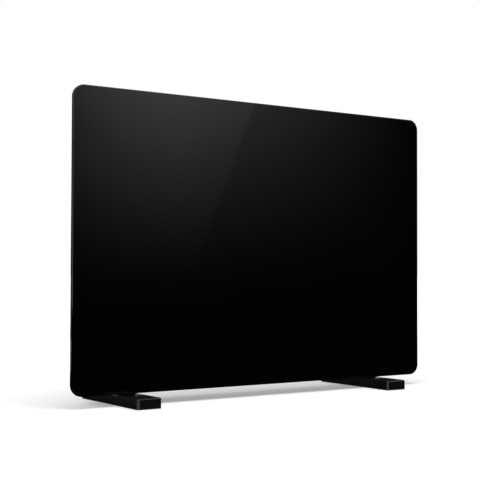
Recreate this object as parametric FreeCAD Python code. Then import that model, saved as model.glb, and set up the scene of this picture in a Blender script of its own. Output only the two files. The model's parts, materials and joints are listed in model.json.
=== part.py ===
import FreeCAD, Part
import math
import os
from FreeCAD import Vector

# Free-standing glass panel heater. All sizes are in millimetres.
# X runs along the panel to its right, Y to the back and Z up.
# The origin is on the floor, under the middle of the panel and midway along the feet.

RIGHT = Vector(1, 0, 0)
BACK = Vector(0, 1, 0)
UP = Vector(0, 0, 1)

# Glass panel
glass_width = 600.0
glass_height = 400.0
glass_thickness = 5.0
glass_corner_radius = 16.0
glass_edge_bevel = 1.2
glass_floor_gap = 16.0

# Silicone strips between the glass and the chassis
bond_thickness = 1.5
bond_width = 12.0
bond_margin = 8.0

# Chassis, a steel tray that opens to the back
chassis_sheet = 1.2
chassis_flange = 12.0
chassis_clearance = 0.2

# Rear cover, a steel shell that slides over the chassis
cover_depth = 56.0
cover_sheet = 1.0
cover_side_inset = 40.0
cover_top_inset = 20.0
cover_bottom_inset = 20.0
cover_corner_radius = 14.0
cover_back_radius = 5.0
cover_screw_margin = 34.0
cover_screw_spacing = 150.0

# Air slots in the top and bottom, louvres and stiffening recess in the back
vent_slot_width = 7.0
vent_slot_pitch = 15.0
vent_margin = 2.0
louvre_length = 50.0
louvre_rise = 9.0
louvre_depth = 5.0
louvre_pitch = 62.0
louvre_columns = 6
louvre_rows = 2
louvre_row_pitch = 15.0
louvre_edge_distance = 50.0
recess_depth = 2.5
recess_margin = 21.0
recess_side_margin = 70.0
recess_corner_radius = 12.0

# Heating elements and the sheet metal that carries them
compartment_width = 69.0
bracket_side_gap = 34.0
bracket_sheet = 1.0
bracket_flange = 14.0
element_height = 100.0
element_pitch = 80.0
element_core_radius = 9.0
element_reach = 24.0
element_fin = 2.2
element_fin_tip = 7.0
element_slot = 3.0
element_slot_pitch = 58.0
element_gap = 1.0
spigot_radius = 5.0
tube_radius = 3.2
tube_spacing = 10.0
tube_tail = 6.0
bush_radius = 10.5
bush_flange_radius = 13.0
bush_flange = 3.0
bush_barrel = 9.0
bush_clearance = 0.1
shield_sheet = 0.8
shield_gap = 7.0
shield_bush_gap = 1.0
shield_below = 40.0
shield_above = 50.0

# Overheat cut-out on the partition
cutout_rise = 30.0
cutout_radius = 8.0
cutout_body = 9.0
cutout_cap = 4.0
cutout_plate = 1.5
cutout_plate_length = 32.0
cutout_screw_spacing = 24.0
cutout_terminal_spacing = 8.0

# Control fascia on the right-hand end of the cover
fascia_rise = 120.0
fascia_height = 134.0
fascia_plate = 2.5
fascia_plug = 2.5
fascia_bevel = 0.8
fascia_margin = 1.5
fascia_lip = 3.0
fascia_screw_zone = 11.0
fascia_corner_radius = 4.0
fascia_clearance = 0.25

# Thermostat
knob_drop = 32.0
knob_radius = 14.0
knob_grip_radius = 11.0
knob_skirt = 3.0
knob_height = 15.0
knob_gap = 0.6
knob_flutes = 12
knob_flute_share = 0.1
knob_bevel = 0.8
knob_taper = 0.8
knob_rest_angle = 225.0
shaft_radius = 3.0
shaft_flat = 1.0
shaft_clearance = 0.05
thermostat_width = 28.0
thermostat_height = 32.0
thermostat_depth = 16.0
thermostat_screw_spacing = 20.0
thermostat_terminal_spacing = 14.0

# Rocker switches
switch_drop = 36.0
switch_pitch = 25.0
switch_length = 18.8
switch_width = 12.8
switch_depth = 18.0
bezel_length = 21.0
bezel_width = 15.0
bezel_thickness = 2.0
bezel_bevel = 0.7
rocker_reach = 7.2
rocker_width = 9.8
rocker_end_height = 3.6
rocker_dip_height = 1.5
rocker_base_depth = 3.0
rocker_tilt = 8.0
rocker_clearance = 0.4
rocker_pivot_depth = 2.6
pivot_radius = 1.0
pivot_length = 1.2
pivot_clearance = 0.05
switch_terminal_spacing = 9.0

# Flat terminals of the bought-in devices
blade_width = 6.3
blade_thickness = 0.8
blade_length = 8.0

# Indicator
lens_drop = 20.0
lens_radius = 4.0
lens_head_radius = 5.2
lens_head_height = 3.0
lens_wall = 0.9
lens_tail = 4.0
lamp_radius = 2.8
lamp_length = 10.0

# Terminal block and earth connection on the chassis
terminal_rise = 60.0
terminal_height = 32.0
terminal_depth = 14.0
terminal_side_gap = 35.0
terminal_way = 8.0
terminal_ways = 3
terminal_well_radius = 2.4
terminal_well_depth = 6.0
terminal_well_spacing = 18.0
earth_rise = 60.0
earth_lug_length = 16.0
earth_lug_thickness = 1.0
earth_barrel_radius = 2.0
earth_barrel_length = 8.0

# Wiring
lead_radius = 1.1
lead_sides = 6
lead_straight = 12.0
lead_bend_share = 0.4
lead_pair_offset = 1.5

# Cord gland in the back of the cover
gland_rise = 39.0
gland_side_gap = 35.0
gland_bore_radius = 4.2
gland_thread_radius = 6.2
gland_hex = 19.0
gland_hex_height = 4.0
gland_cap_radius = 8.0
gland_cap_height = 6.0
gland_crown_bevel = 2.0
gland_tail = 9.0
gland_nut_height = 4.0
gland_clearance = 0.1

# Threaded inserts: four in the back for a wall bracket, two over each foot
wall_insert_side_margin = 60.0
wall_insert_end_margin = 30.0
insert_radius = 3.5
insert_flange_radius = 5.0
insert_flange = 1.0
insert_length = 9.0
insert_tap_radius = 2.1
insert_clearance = 0.1

# Feet
foot_length = 160.0
foot_width = 36.0
foot_height = 14.0
foot_side_inset = 70.0
foot_toe_share = 0.29375
foot_corner_radius = 4.0
foot_edge_bevel = 1.0
foot_wall = 3.0
foot_rib = 2.0
pedestal_length = 44.0
pedestal_width = 28.0
pedestal_draft = 2.0
pedestal_corner = 3.0
foot_screw_spacing = 26.0
foot_screw_clamp = 8.0
foot_screw_radius = 2.5
foot_screw_head_radius = 4.6
foot_screw_head_height = 3.0
foot_access_radius = 5.4
pad_radius = 7.0
pad_thickness = 2.0
pad_proud = 0.6
pad_end_distance = 13.0
pad_clearance = 0.1

# Small screws and rivets; what is small and repeats, or is hidden, has few sides
small_sides = 8
round_sides = 16
knob_sides = 32
sheet_screw_radius = 1.75
sheet_screw_length = 7.0
sheet_screw_head_radius = 3.6
sheet_screw_head_height = 2.2
machine_screw_radius = 1.5
machine_screw_head_radius = 2.8
machine_screw_head_height = 1.8
rivet_radius = 2.0
rivet_head_radius = 3.5
rivet_head_height = 1.3
screw_clearance = 0.3
thread_clearance = 0.05

# Levels that several pieces share
toe_y = -foot_length / 2
glass_front_y = toe_y + foot_toe_share * foot_length
glass_back_y = glass_front_y + glass_thickness
chassis_front_y = glass_back_y + bond_thickness
chassis_back_y = chassis_front_y + chassis_sheet
flange_end_y = chassis_front_y + chassis_flange
flange_mid_y = chassis_front_y + chassis_flange / 2
cover_back_y = chassis_front_y + cover_depth
cover_inside_y = cover_back_y - cover_sheet
flat_end_y = cover_back_y - cover_back_radius
shield_back_y = cover_inside_y - shield_gap
shield_front_y = shield_back_y - shield_sheet
element_y = (chassis_back_y + shield_front_y) / 2
shield_tab = shield_back_y - element_y - bush_flange_radius - shield_bush_gap

glass_bottom_z = glass_floor_gap
glass_top_z = glass_bottom_z + glass_height
cover_bottom_z = glass_bottom_z + cover_bottom_inset
cover_top_z = glass_top_z - cover_top_inset
chassis_bottom_z = cover_bottom_z + cover_sheet + chassis_clearance
chassis_top_z = cover_top_z - cover_sheet - chassis_clearance
element_low_z = cover_bottom_z + element_height
element_high_z = element_low_z + element_pitch
shield_bottom_z = element_low_z - shield_below
shield_top_z = element_high_z + shield_above
cutout_z = element_high_z + cutout_rise
fascia_bottom_z = cover_bottom_z + fascia_rise
fascia_top_z = fascia_bottom_z + fascia_height
knob_z = fascia_top_z - knob_drop
switch_upper_z = knob_z - switch_drop
switch_lower_z = switch_upper_z - switch_pitch
lens_z = switch_lower_z - lens_drop
terminal_z = cover_bottom_z + terminal_rise
terminal_top_z = terminal_z + terminal_height / 2
earth_z = terminal_z + earth_rise
gland_z = cover_bottom_z + gland_rise

cover_side_x = glass_width / 2 - cover_side_inset
chassis_side_x = cover_side_x - cover_sheet - chassis_clearance
partition_x = cover_side_x - compartment_width
compartment_x = partition_x + bracket_sheet
bracket_x = -cover_side_x + bracket_side_gap
bracket_inside_x = bracket_x + bracket_sheet
element_left_x = bracket_inside_x + bush_flange + element_gap
element_right_x = partition_x - bush_flange - element_gap
tube_end_x = compartment_x + bush_barrel + tube_tail
vent_half_width = partition_x - vent_slot_pitch
fascia_front_x = cover_side_x + fascia_plate
fascia_back_x = cover_side_x - fascia_plug
thermostat_back_x = fascia_back_x - thermostat_depth
switch_back_x = fascia_front_x - switch_depth
cutout_back_x = compartment_x + cutout_plate + cutout_body
terminal_x = cover_side_x - terminal_side_gap
gland_x = cover_side_x - gland_side_gap
wall_insert_x = cover_side_x - wall_insert_side_margin
foot_mid_x = glass_width / 2 - foot_side_inset - foot_width / 2

fascia_front_edge_y = flange_end_y + fascia_margin
fascia_back_edge_y = flat_end_y - fascia_margin
control_y = (fascia_front_edge_y + fascia_back_edge_y) / 2
pedestal_y = (flange_end_y + flat_end_y) / 2
pivot_x = fascia_front_x + bezel_thickness - rocker_pivot_depth


# Shape helpers

def block(x0, x1, y0, y1, z0, z1):
    """A plain box between two opposite corners."""
    return Part.makeBox(x1 - x0, y1 - y0, z1 - z0, Vector(x0, y0, z0))


def rod(start, along, radius, length):
    """A cylinder that runs from start."""
    return Part.makeCylinder(radius, length, start, along)


def rounded_outline(u0, u1, v0, v1, radius, place):
    """A closed rectangle with round corners; place turns (u, v) into a point."""
    near = radius * (1 - math.sqrt(0.5))
    corners = [
        ((u0, v0 + radius), (u0 + near, v0 + near), (u0 + radius, v0)),
        ((u1 - radius, v0), (u1 - near, v0 + near), (u1, v0 + radius)),
        ((u1, v1 - radius), (u1 - near, v1 - near), (u1 - radius, v1)),
        ((u0 + radius, v1), (u0 + near, v1 - near), (u0, v1 - radius)),
    ]
    edges = []
    for index, (start, middle, end) in enumerate(corners):
        edges.append(Part.Arc(place(*start), place(*middle), place(*end)).toShape())
        following = corners[(index + 1) % 4][0]
        if math.dist(end, following) > 1e-6:
            edges.append(Part.makeLine(place(*end), place(*following)))
    return Part.Wire(edges)


def panel_outline(half_width, z0, z1, radius, y):
    """The outline of an upright panel in a plane across Y."""
    return rounded_outline(-half_width, half_width, z0, z1, radius, lambda u, v: Vector(u, y, v))


def panel_prism(half_width, z0, z1, radius, y0, y1):
    """An upright panel with round corners."""
    return Part.Face(panel_outline(half_width, z0, z1, radius, y0)).extrude(BACK * (y1 - y0))


def floor_prism(x0, x1, y0, y1, radius, z0, z1):
    """A level plate or slot with round corners."""
    outline = rounded_outline(x0, x1, y0, y1, radius, lambda u, v: Vector(u, v, z0))
    return Part.Face(outline).extrude(UP * (z1 - z0))


def side_prism(y0, y1, z0, z1, radius, x0, x1):
    """A plate with round corners that faces along X."""
    outline = rounded_outline(y0, y1, z0, z1, radius, lambda u, v: Vector(x0, u, v))
    return Part.Face(outline).extrude(RIGHT * (x1 - x0))


def polygon_points(centre, along, radius, sides):
    """The corners of a regular polygon across an axis, the first on a fixed side."""
    first = UP if abs(along.x) > 0.5 else RIGHT
    second = along.cross(first)
    corners = []
    for k in range(sides):
        angle = 2 * math.pi * k / sides
        corners.append(centre + first * (radius * math.cos(angle)) + second * (radius * math.sin(angle)))
    return corners


def polygon_ring(centre, along, radius, sides):
    """A regular polygon across an axis."""
    corners = polygon_points(centre, along, radius, sides)
    return Part.makePolygon(corners + corners[:1])


def polygon_bar(start, along, radius, length, sides=small_sides):
    """A bar with flat sides that runs from start."""
    return Part.Face(polygon_ring(start, along, radius, sides)).extrude(along * length)


def between_rings(lower, upper):
    """A solid with flat sides between two outlines of the same shape, each a list of points."""
    faces = [Part.Face(Part.makePolygon(points + points[:1])) for points in (lower, upper)]
    for k in range(len(lower)):
        side = [lower[k - 1], lower[k], upper[k], upper[k - 1]]
        faces.append(Part.Face(Part.makePolygon(side + side[:1])))
    solid = Part.Solid(Part.makeShell(faces))
    solid.fix(1e-6, 1e-6, 1e-6)
    return solid


def polygon_taper(start, along, radius, end_radius, length, sides=small_sides):
    """A bar with flat sides that narrows to its end."""
    return between_rings(polygon_points(start, along, radius, sides),
                         polygon_points(start + along * length, along, end_radius, sides))


def hexagon(start, along, across_flats, length):
    """A hexagon bar by its width across flats."""
    return polygon_bar(start, along, across_flats / math.sqrt(3), length, 6)


def edges_at_y(shape, *levels):
    """The edges that lie whole in one of the planes across Y."""
    return [edge for edge in shape.Edges
            if any(all(abs(v.Point.y - level) < 1e-6 for v in edge.Vertexes) for level in levels)]


def edges_at_z(shape, level):
    """The edges that lie whole in a level plane."""
    return [edge for edge in shape.Edges if all(abs(v.Point.z - level) < 1e-6 for v in edge.Vertexes)]


def edges_at_x(shape, level):
    """The edges that lie whole in a plane across X."""
    return [edge for edge in shape.Edges if all(abs(v.Point.x - level) < 1e-6 for v in edge.Vertexes)]


def screw(seat, into, shank_radius, length, head_radius, head_height):
    """A screw or rivet with a bevelled head that sits on seat and a shank that points into the work."""
    head = polygon_taper(seat, into * -1, head_radius, head_radius - head_height / 2, head_height)
    return head.fuse(polygon_bar(seat, into, shank_radius, length)).removeSplitter()


def hole(seat, along, radius, depth, sides=small_sides):
    """A cutter for a part with flat sides, which starts a little outside the seat."""
    lead_in = 1.0
    return polygon_bar(seat - along * lead_in, along, radius, depth + lead_in, sides)


def bore(seat, along, radius, depth):
    """A round cutter that starts a little outside the seat."""
    lead_in = 1.0
    return rod(seat - along * lead_in, along, radius, depth + lead_in)


def lead(points):
    """An insulated wire that runs straight between points and turns each corner in two steps."""
    route = points[:1]
    for before, corner, after in zip(points, points[1:], points[2:]):
        setback = lead_bend_share * min((before - corner).Length, (after - corner).Length)
        route.append(corner + (before - corner).normalize() * setback)
        route.append(corner + (after - corner).normalize() * setback)
    route.append(points[-1])
    section = polygon_ring(points[0], (points[1] - points[0]).normalize(), lead_radius, lead_sides)
    mitred = 1
    return Part.makePolygon(route).makePipeShell([section], True, False, mitred)


# Where fasteners sit: each entry is a seat and the way the fastener points

def cover_screw_seats():
    """Screws through the cover's four walls into the chassis flange."""
    seats = []
    for side in (-1, 1):
        for z in (cover_bottom_z + cover_screw_margin, cover_top_z - cover_screw_margin):
            seats.append((Vector(side * cover_side_x, flange_mid_y, z), RIGHT * -side))
    for z, into in ((cover_bottom_z, UP), (cover_top_z, UP * -1)):
        for step in (-1, 0, 1):
            seats.append((Vector(step * cover_screw_spacing, flange_mid_y, z), into))
    return seats


def chassis_rivet_seats():
    """Rivets through the flanges of the bracket and the partition."""
    seats = []
    for x in (bracket_x - bracket_flange / 2, compartment_x + bracket_flange / 2):
        for z in (element_low_z, element_high_z):
            seats.append((Vector(x, chassis_back_y + bracket_sheet, z), BACK * -1))
    return seats


def shield_rivet_seats():
    """Rivets through the end tabs of the heat shield."""
    y = shield_back_y - shield_tab / 2
    seats = []
    for z in (shield_bottom_z + shield_tab, shield_top_z - shield_tab):
        seats.append((Vector(bracket_inside_x + shield_sheet, y, z), RIGHT * -1))
        seats.append((Vector(partition_x - shield_sheet, y, z), RIGHT))
    return seats


def cutout_screw_seats():
    """Screws through the cut-out's plate into the partition."""
    x = compartment_x + cutout_plate
    half = cutout_screw_spacing / 2
    return [(Vector(x, element_y, cutout_z + side * half), RIGHT * -1) for side in (-1, 1)]


def fascia_screw_seats():
    """Screws through the two ends of the fascia into the cover's wall."""
    half = fascia_screw_zone / 2
    levels = (fascia_bottom_z + half, fascia_top_z - half)
    return [(Vector(fascia_front_x, control_y, z), RIGHT * -1) for z in levels]


def thermostat_screw_seats():
    """Screws under the knob that hold the thermostat to the fascia, heads sunk flush."""
    x = fascia_front_x - machine_screw_head_height
    half = thermostat_screw_spacing / 2
    return [(Vector(x, control_y, knob_z + side * half), RIGHT * -1) for side in (-1, 1)]


def terminal_fixing_seat():
    """The screw between the terminal block's ways."""
    return Vector(terminal_x - terminal_way / 2, chassis_back_y + terminal_depth, terminal_z), BACK * -1


def earth_screw_seat():
    """The screw that clamps the earth lug to the chassis."""
    return Vector(terminal_x, chassis_back_y + earth_lug_thickness, earth_z), BACK * -1


def wall_insert_seats():
    """The wall bracket's four inserts in the back of the cover."""
    levels = (cover_bottom_z + wall_insert_end_margin, cover_top_z - wall_insert_end_margin)
    return [(Vector(side * wall_insert_x, cover_back_y, z), BACK * -1) for side in (-1, 1) for z in levels]


def foot_screw_points(side):
    """Points in the cover's underside over one foot."""
    half = foot_screw_spacing / 2
    return [Vector(side * foot_mid_x, pedestal_y + end * half, cover_bottom_z) for end in (-1, 1)]


# Glass, bond and chassis

def glass_panel():
    """Toughened glass sheet with round corners and ground, bevelled edges."""
    sheet = panel_prism(glass_width / 2, glass_bottom_z, glass_top_z, glass_corner_radius,
                        glass_front_y, glass_back_y)
    return sheet.makeChamfer(glass_edge_bevel, edges_at_y(sheet, glass_front_y, glass_back_y))


def bond_strips():
    """Four silicone strips round the edge of the chassis."""
    side = chassis_side_x - bond_margin
    low = chassis_bottom_z + bond_margin
    high = chassis_top_z - bond_margin
    inner = side - 2 * bond_width
    strips = [block(-inner, inner, glass_back_y, chassis_front_y, z, z + bond_width)
              for z in (low, high - bond_width)]
    strips += [block(x, x + bond_width, glass_back_y, chassis_front_y, low, high)
               for x in (-side, side - bond_width)]
    return Part.makeCompound(strips)


def chassis():
    """Pressed tray with a flange all round that the rear cover is screwed to."""
    radius = cover_corner_radius - cover_sheet - chassis_clearance
    tray = panel_prism(chassis_side_x, chassis_bottom_z, chassis_top_z, radius, chassis_front_y, flange_end_y)
    tray = tray.cut(panel_prism(chassis_side_x - chassis_sheet, chassis_bottom_z + chassis_sheet,
                                chassis_top_z - chassis_sheet, radius - chassis_sheet,
                                chassis_back_y, flange_end_y + 1))
    tools = [hole(seat, into, sheet_screw_radius + thread_clearance, sheet_screw_length)
             for seat, into in cover_screw_seats()]
    tools += [hole(seat, into, rivet_radius + thread_clearance, bracket_sheet + chassis_sheet + 1)
              for seat, into in chassis_rivet_seats()]
    fixing_depth = terminal_depth + chassis_sheet + 1
    for seat, into in (terminal_fixing_seat(), earth_screw_seat()):
        tools.append(hole(seat, into, machine_screw_radius + thread_clearance, fixing_depth))
    return tray.cut(tools)


# Rear cover

def louvre_hood(x, z, length, rise, depth):
    """A pressed hood: from the sheet above it slopes out to its full depth over a mouth that faces down."""
    half = length / 2
    return Part.makeWedge(x - half, cover_back_y, z, z, x - half + depth,
                          x + half, cover_back_y + depth, z + rise, z, x + half - depth)


def louvre_bands():
    """The bottom and top of the lower and of the upper band of louvres."""
    band = louvre_row_pitch * (louvre_rows - 1) + louvre_rise
    lower = cover_bottom_z + louvre_edge_distance
    upper = cover_top_z - louvre_edge_distance - band
    return (lower, lower + band), (upper, upper + band)


def louvre_places():
    """The middle of each louvre's mouth."""
    first = -louvre_pitch * (louvre_columns - 1) / 2
    return [(first + column * louvre_pitch, bottom + row * louvre_row_pitch)
            for bottom, top in louvre_bands()
            for row in range(louvre_rows)
            for column in range(louvre_columns)]


def vent_slots(z0, z1):
    """A row of slots across the cover's depth."""
    count = int(vent_half_width / vent_slot_pitch)
    front = flange_end_y + vent_margin
    back = flat_end_y - vent_margin
    half = vent_slot_width / 2
    return [block(k * vent_slot_pitch - half, k * vent_slot_pitch + half, front, back, z0, z1)
            for k in range(-count, count + 1)]


def back_recess(front_shift):
    """The shallow pan pressed into the back, its walls sloping at 45 degrees."""
    half = cover_side_x - recess_side_margin
    (lower_start, lower_end), (upper_start, upper_end) = louvre_bands()
    low = lower_end + recess_margin
    high = upper_start - recess_margin
    mouth_y = cover_back_y - front_shift
    floor_y = mouth_y - recess_depth
    pan = panel_prism(half, low, high, recess_corner_radius, floor_y, mouth_y + cover_sheet / 2)
    return pan.makeChamfer(recess_depth, edges_at_y(pan, floor_y))


def fascia_opening():
    """The window in the cover's right wall that the fascia's plug fills."""
    gap = fascia_clearance
    return block(cover_side_x - cover_sheet - 1, cover_side_x + 1,
                 fascia_front_edge_y + fascia_lip - gap, fascia_back_edge_y - fascia_lip + gap,
                 fascia_bottom_z + fascia_screw_zone - gap, fascia_top_z - fascia_screw_zone + gap)


def rear_cover():
    """Deep-drawn steel shell with louvres, slots, a stiffening recess and its holes."""
    shell = panel_prism(cover_side_x, cover_bottom_z, cover_top_z, cover_corner_radius,
                        chassis_front_y, cover_back_y)
    shell = shell.makeFillet(cover_back_radius, edges_at_y(shell, cover_back_y))
    hollow = panel_prism(cover_side_x - cover_sheet, cover_bottom_z + cover_sheet, cover_top_z - cover_sheet,
                         cover_corner_radius - cover_sheet, chassis_front_y - 1, cover_inside_y)
    inner_bevel = (cover_back_radius - cover_sheet) * (2 - math.sqrt(2))
    hollow = hollow.makeChamfer(inner_bevel, edges_at_y(hollow, cover_inside_y))
    shell = shell.cut(hollow)

    hoods = [louvre_hood(x, z, louvre_length, louvre_rise, louvre_depth) for x, z in louvre_places()]
    shell = shell.fuse(hoods + [back_recess(cover_sheet)])

    mouth_length = louvre_length - 3 * cover_sheet
    mouth_rise = louvre_rise - 1.5 * cover_sheet
    tools = [back_recess(0), fascia_opening()]
    for x, z in louvre_places():
        tools.append(louvre_hood(x, z, mouth_length, mouth_rise, louvre_depth - cover_sheet))
        tools.append(block(x - mouth_length / 2, x + mouth_length / 2, cover_inside_y - 1, cover_back_y,
                           z, z + mouth_rise))
    tools += vent_slots(cover_bottom_z - 1, cover_bottom_z + cover_sheet + 1)
    tools += vent_slots(cover_top_z - cover_sheet - 1, cover_top_z + 1)
    tools += [hole(seat, into, sheet_screw_radius + screw_clearance, cover_sheet + 1)
              for seat, into in cover_screw_seats()]
    tools += [hole(seat, into, machine_screw_radius + thread_clearance, fascia_plate + cover_sheet + 1)
              for seat, into in fascia_screw_seats()]
    foot_points = foot_screw_points(-1) + foot_screw_points(1)
    tools += [hole(seat, into, insert_radius + insert_clearance, cover_sheet + 1)
              for seat, into in wall_insert_seats() + [(point, UP) for point in foot_points]]
    tools.append(hole(Vector(gland_x, cover_back_y, gland_z), BACK * -1,
                      gland_thread_radius + gland_clearance, cover_sheet + 1, round_sides))
    return shell.cut(tools)


def cover_screws():
    """Sheet-metal screws that hold the cover to the chassis."""
    return Part.makeCompound([screw(seat, into, sheet_screw_radius, sheet_screw_length,
                                    sheet_screw_head_radius, sheet_screw_head_height)
                              for seat, into in cover_screw_seats()])


# Heating elements

def element_tube_points(centre_z):
    """Where the two ends of the heating tube stand in the element's right-hand end."""
    return [Vector(element_right_x, element_y, centre_z + side * tube_spacing / 2) for side in (-1, 1)]


def heating_element(centre_z):
    """Extruded bar with four T-shaped arms, slotted against expansion, and its tube ends and spigot."""
    length = element_right_x - element_left_x
    core = polygon_bar(Vector(element_left_x, 0, 0), RIGHT, element_core_radius, length)
    arms = []
    for quarter in range(4):
        web = block(element_left_x, element_right_x, -element_fin / 2, element_fin / 2, 0, element_reach)
        tip = block(element_left_x, element_right_x, -element_fin_tip / 2, element_fin_tip / 2,
                    element_reach - element_fin, element_reach)
        for piece in (web, tip):
            piece.rotate(Vector(0, 0, 0), RIGHT, 45 + 90 * quarter)
            arms.append(piece)
    bar = core.fuse(arms)

    middle = (element_left_x + element_right_x) / 2
    steps = int(length / element_slot_pitch / 2)
    rings = []
    for step in range(-steps, steps + 1):
        base = Vector(middle + step * element_slot_pitch - element_slot / 2, 0, 0)
        ring = block(base.x, base.x + element_slot,
                     -element_reach, element_reach, -element_reach, element_reach)
        rings.append(ring.cut(polygon_bar(base, RIGHT, element_core_radius + element_fin, element_slot)))
    bar = bar.cut(rings)
    bar.translate(Vector(0, element_y, centre_z))

    spigot = polygon_bar(Vector(element_left_x, element_y, centre_z), RIGHT * -1, spigot_radius,
                         element_left_x - bracket_inside_x + bush_barrel)
    tubes = [polygon_bar(point, RIGHT, tube_radius, tube_end_x - element_right_x)
             for point in element_tube_points(centre_z)]
    return bar.fuse([spigot] + tubes).removeSplitter()


def bush(seat, into, bores):
    """A flanged ceramic bush whose barrel goes through the sheet at seat."""
    flange = polygon_bar(seat, into * -1, bush_flange_radius, bush_flange)
    barrel = polygon_bar(seat, into, bush_radius, bush_barrel)
    return flange.fuse(barrel).removeSplitter().cut(bores)


def element_bushes():
    """One bush with a single bore at each left end and one with two bores at each right end."""
    depth = bush_flange + bush_barrel + 1
    bushes = []
    for centre_z in (element_low_z, element_high_z):
        left_face = Vector(bracket_inside_x + bush_flange, element_y, centre_z)
        spigot_bore = hole(left_face, RIGHT * -1, spigot_radius + bush_clearance, depth)
        bushes.append(bush(Vector(bracket_inside_x, element_y, centre_z), RIGHT * -1, [spigot_bore]))
        tube_bores = [hole(Vector(partition_x - bush_flange, point.y, point.z), RIGHT,
                           tube_radius + bush_clearance, depth) for point in element_tube_points(centre_z)]
        bushes.append(bush(Vector(partition_x, element_y, centre_z), RIGHT, tube_bores))
    return Part.makeCompound(bushes)


def bush_holes(x):
    """Holes for the bushes in an upright sheet that starts at x."""
    return [hole(Vector(x, element_y, z), RIGHT, bush_radius + bush_clearance, bracket_sheet + 1)
            for z in (element_low_z, element_high_z)]


def rivet_holes(seats, depth):
    """Holes that a row of rivets fills."""
    return [hole(seat, into, rivet_radius + thread_clearance, depth) for seat, into in seats]


def element_bracket():
    """Angle of sheet steel that carries the left ends of the elements."""
    web = block(bracket_x, bracket_inside_x, chassis_back_y, shield_back_y, shield_bottom_z, shield_top_z)
    flange = block(bracket_x - bracket_flange, bracket_x, chassis_back_y, chassis_back_y + bracket_sheet,
                   shield_bottom_z, shield_top_z)
    angle = web.fuse(flange).removeSplitter()
    tools = bush_holes(bracket_x)
    tools += rivet_holes(chassis_rivet_seats() + shield_rivet_seats(), bracket_sheet + shield_sheet + 1)
    return angle.cut(tools)


def partition_plate():
    """Angle of sheet steel that carries the right ends and closes off the wiring space."""
    low = chassis_bottom_z + 2 * chassis_sheet
    high = chassis_top_z - 2 * chassis_sheet
    web = block(partition_x, compartment_x, chassis_back_y, shield_back_y, low, high)
    flange = block(compartment_x, compartment_x + bracket_flange,
                   chassis_back_y, chassis_back_y + bracket_sheet,
                   low, high)
    angle = web.fuse(flange).removeSplitter()
    tools = bush_holes(partition_x)
    tools += rivet_holes(chassis_rivet_seats() + shield_rivet_seats(), bracket_sheet + shield_sheet + 1)
    tools += [hole(seat, into, machine_screw_radius + thread_clearance, cutout_plate + bracket_sheet + 1)
              for seat, into in cutout_screw_seats()]
    tools.append(hole(Vector(partition_x, element_y, cutout_z), RIGHT, cutout_radius + screw_clearance,
                      bracket_sheet + 1, round_sides))
    return angle.cut(tools)


def chassis_rivets():
    """Rivets that hold the bracket and the partition to the chassis, flush at the front."""
    return Part.makeCompound([screw(seat, into, rivet_radius, bracket_sheet + chassis_sheet,
                                    rivet_head_radius, rivet_head_height)
                              for seat, into in chassis_rivet_seats()])


def heat_shield():
    """Bright sheet behind the elements with a tab turned forward at each end."""
    left = bracket_inside_x
    right = partition_x
    sheet = block(left, right, shield_front_y, shield_back_y, shield_bottom_z, shield_top_z)
    tabs = [block(x, x + shield_sheet, shield_back_y - shield_tab, shield_back_y,
                  shield_bottom_z, shield_top_z)
            for x in (left, right - shield_sheet)]
    pan = sheet.fuse(tabs).removeSplitter()
    return pan.cut(rivet_holes(shield_rivet_seats(), shield_sheet + 1))


def shield_rivets():
    """Rivets that hold the shield's tabs to the bracket and the partition."""
    return Part.makeCompound([screw(seat, into, rivet_radius, shield_sheet + bracket_sheet,
                                    rivet_head_radius, rivet_head_height)
                              for seat, into in shield_rivet_seats()])


# Overheat cut-out

def overheat_cutout():
    """Disc thermostat whose cap looks through the partition at the warm air."""
    centre = Vector(compartment_x, element_y, cutout_z)
    half = cutout_plate_length / 2
    plate = block(compartment_x, compartment_x + cutout_plate,
                  element_y - cutout_radius, element_y + cutout_radius,
                  cutout_z - half, cutout_z + half)
    cap = polygon_bar(centre, RIGHT * -1, cutout_radius, bracket_sheet + cutout_cap, round_sides)
    body = polygon_bar(centre, RIGHT, cutout_radius, cutout_plate + cutout_body, round_sides)
    disc = plate.fuse([cap, body]).removeSplitter()
    return disc.cut([hole(seat, into, machine_screw_radius + screw_clearance, cutout_plate + 1)
                     for seat, into in cutout_screw_seats()])


def machine_screws(seats, length):
    """A set of small pan-head screws."""
    return Part.makeCompound([screw(seat, into, machine_screw_radius, length,
                                    machine_screw_head_radius, machine_screw_head_height)
                              for seat, into in seats])


# Controls

def control_fascia():
    """Moulded plate with a plug that fills the window in the cover, holed for the controls."""
    plate = side_prism(fascia_front_edge_y, fascia_back_edge_y, fascia_bottom_z, fascia_top_z,
                       fascia_corner_radius, cover_side_x, fascia_front_x)
    plate = plate.makeChamfer(fascia_bevel, edges_at_x(plate, fascia_front_x))
    plug = block(fascia_back_x, cover_side_x,
                 fascia_front_edge_y + fascia_lip, fascia_back_edge_y - fascia_lip,
                 fascia_bottom_z + fascia_screw_zone, fascia_top_z - fascia_screw_zone)
    depth = fascia_plate + fascia_plug + 1
    knob_centre = Vector(fascia_front_x, control_y, knob_z)
    tools = [hole(knob_centre, RIGHT * -1, shaft_radius + screw_clearance, depth, round_sides)]
    tools += [hole(seat, into, machine_screw_radius + screw_clearance, depth)
              for seat, into in fascia_screw_seats() + thermostat_screw_seats()]
    tools += [polygon_bar(seat, RIGHT, machine_screw_head_radius + screw_clearance, depth)
              for seat, into in thermostat_screw_seats()]
    gap = fascia_clearance
    for z in (switch_upper_z, switch_lower_z):
        tools.append(block(fascia_back_x - 1, fascia_front_x + 1,
                           control_y - switch_width / 2 - gap, control_y + switch_width / 2 + gap,
                           z - switch_length / 2 - gap, z + switch_length / 2 + gap))
    lens_centre = Vector(fascia_front_x, control_y, lens_z)
    tools.append(hole(lens_centre, RIGHT * -1, lens_radius + bush_clearance, depth, round_sides))
    return plate.fuse(plug).removeSplitter().cut(tools)


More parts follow.
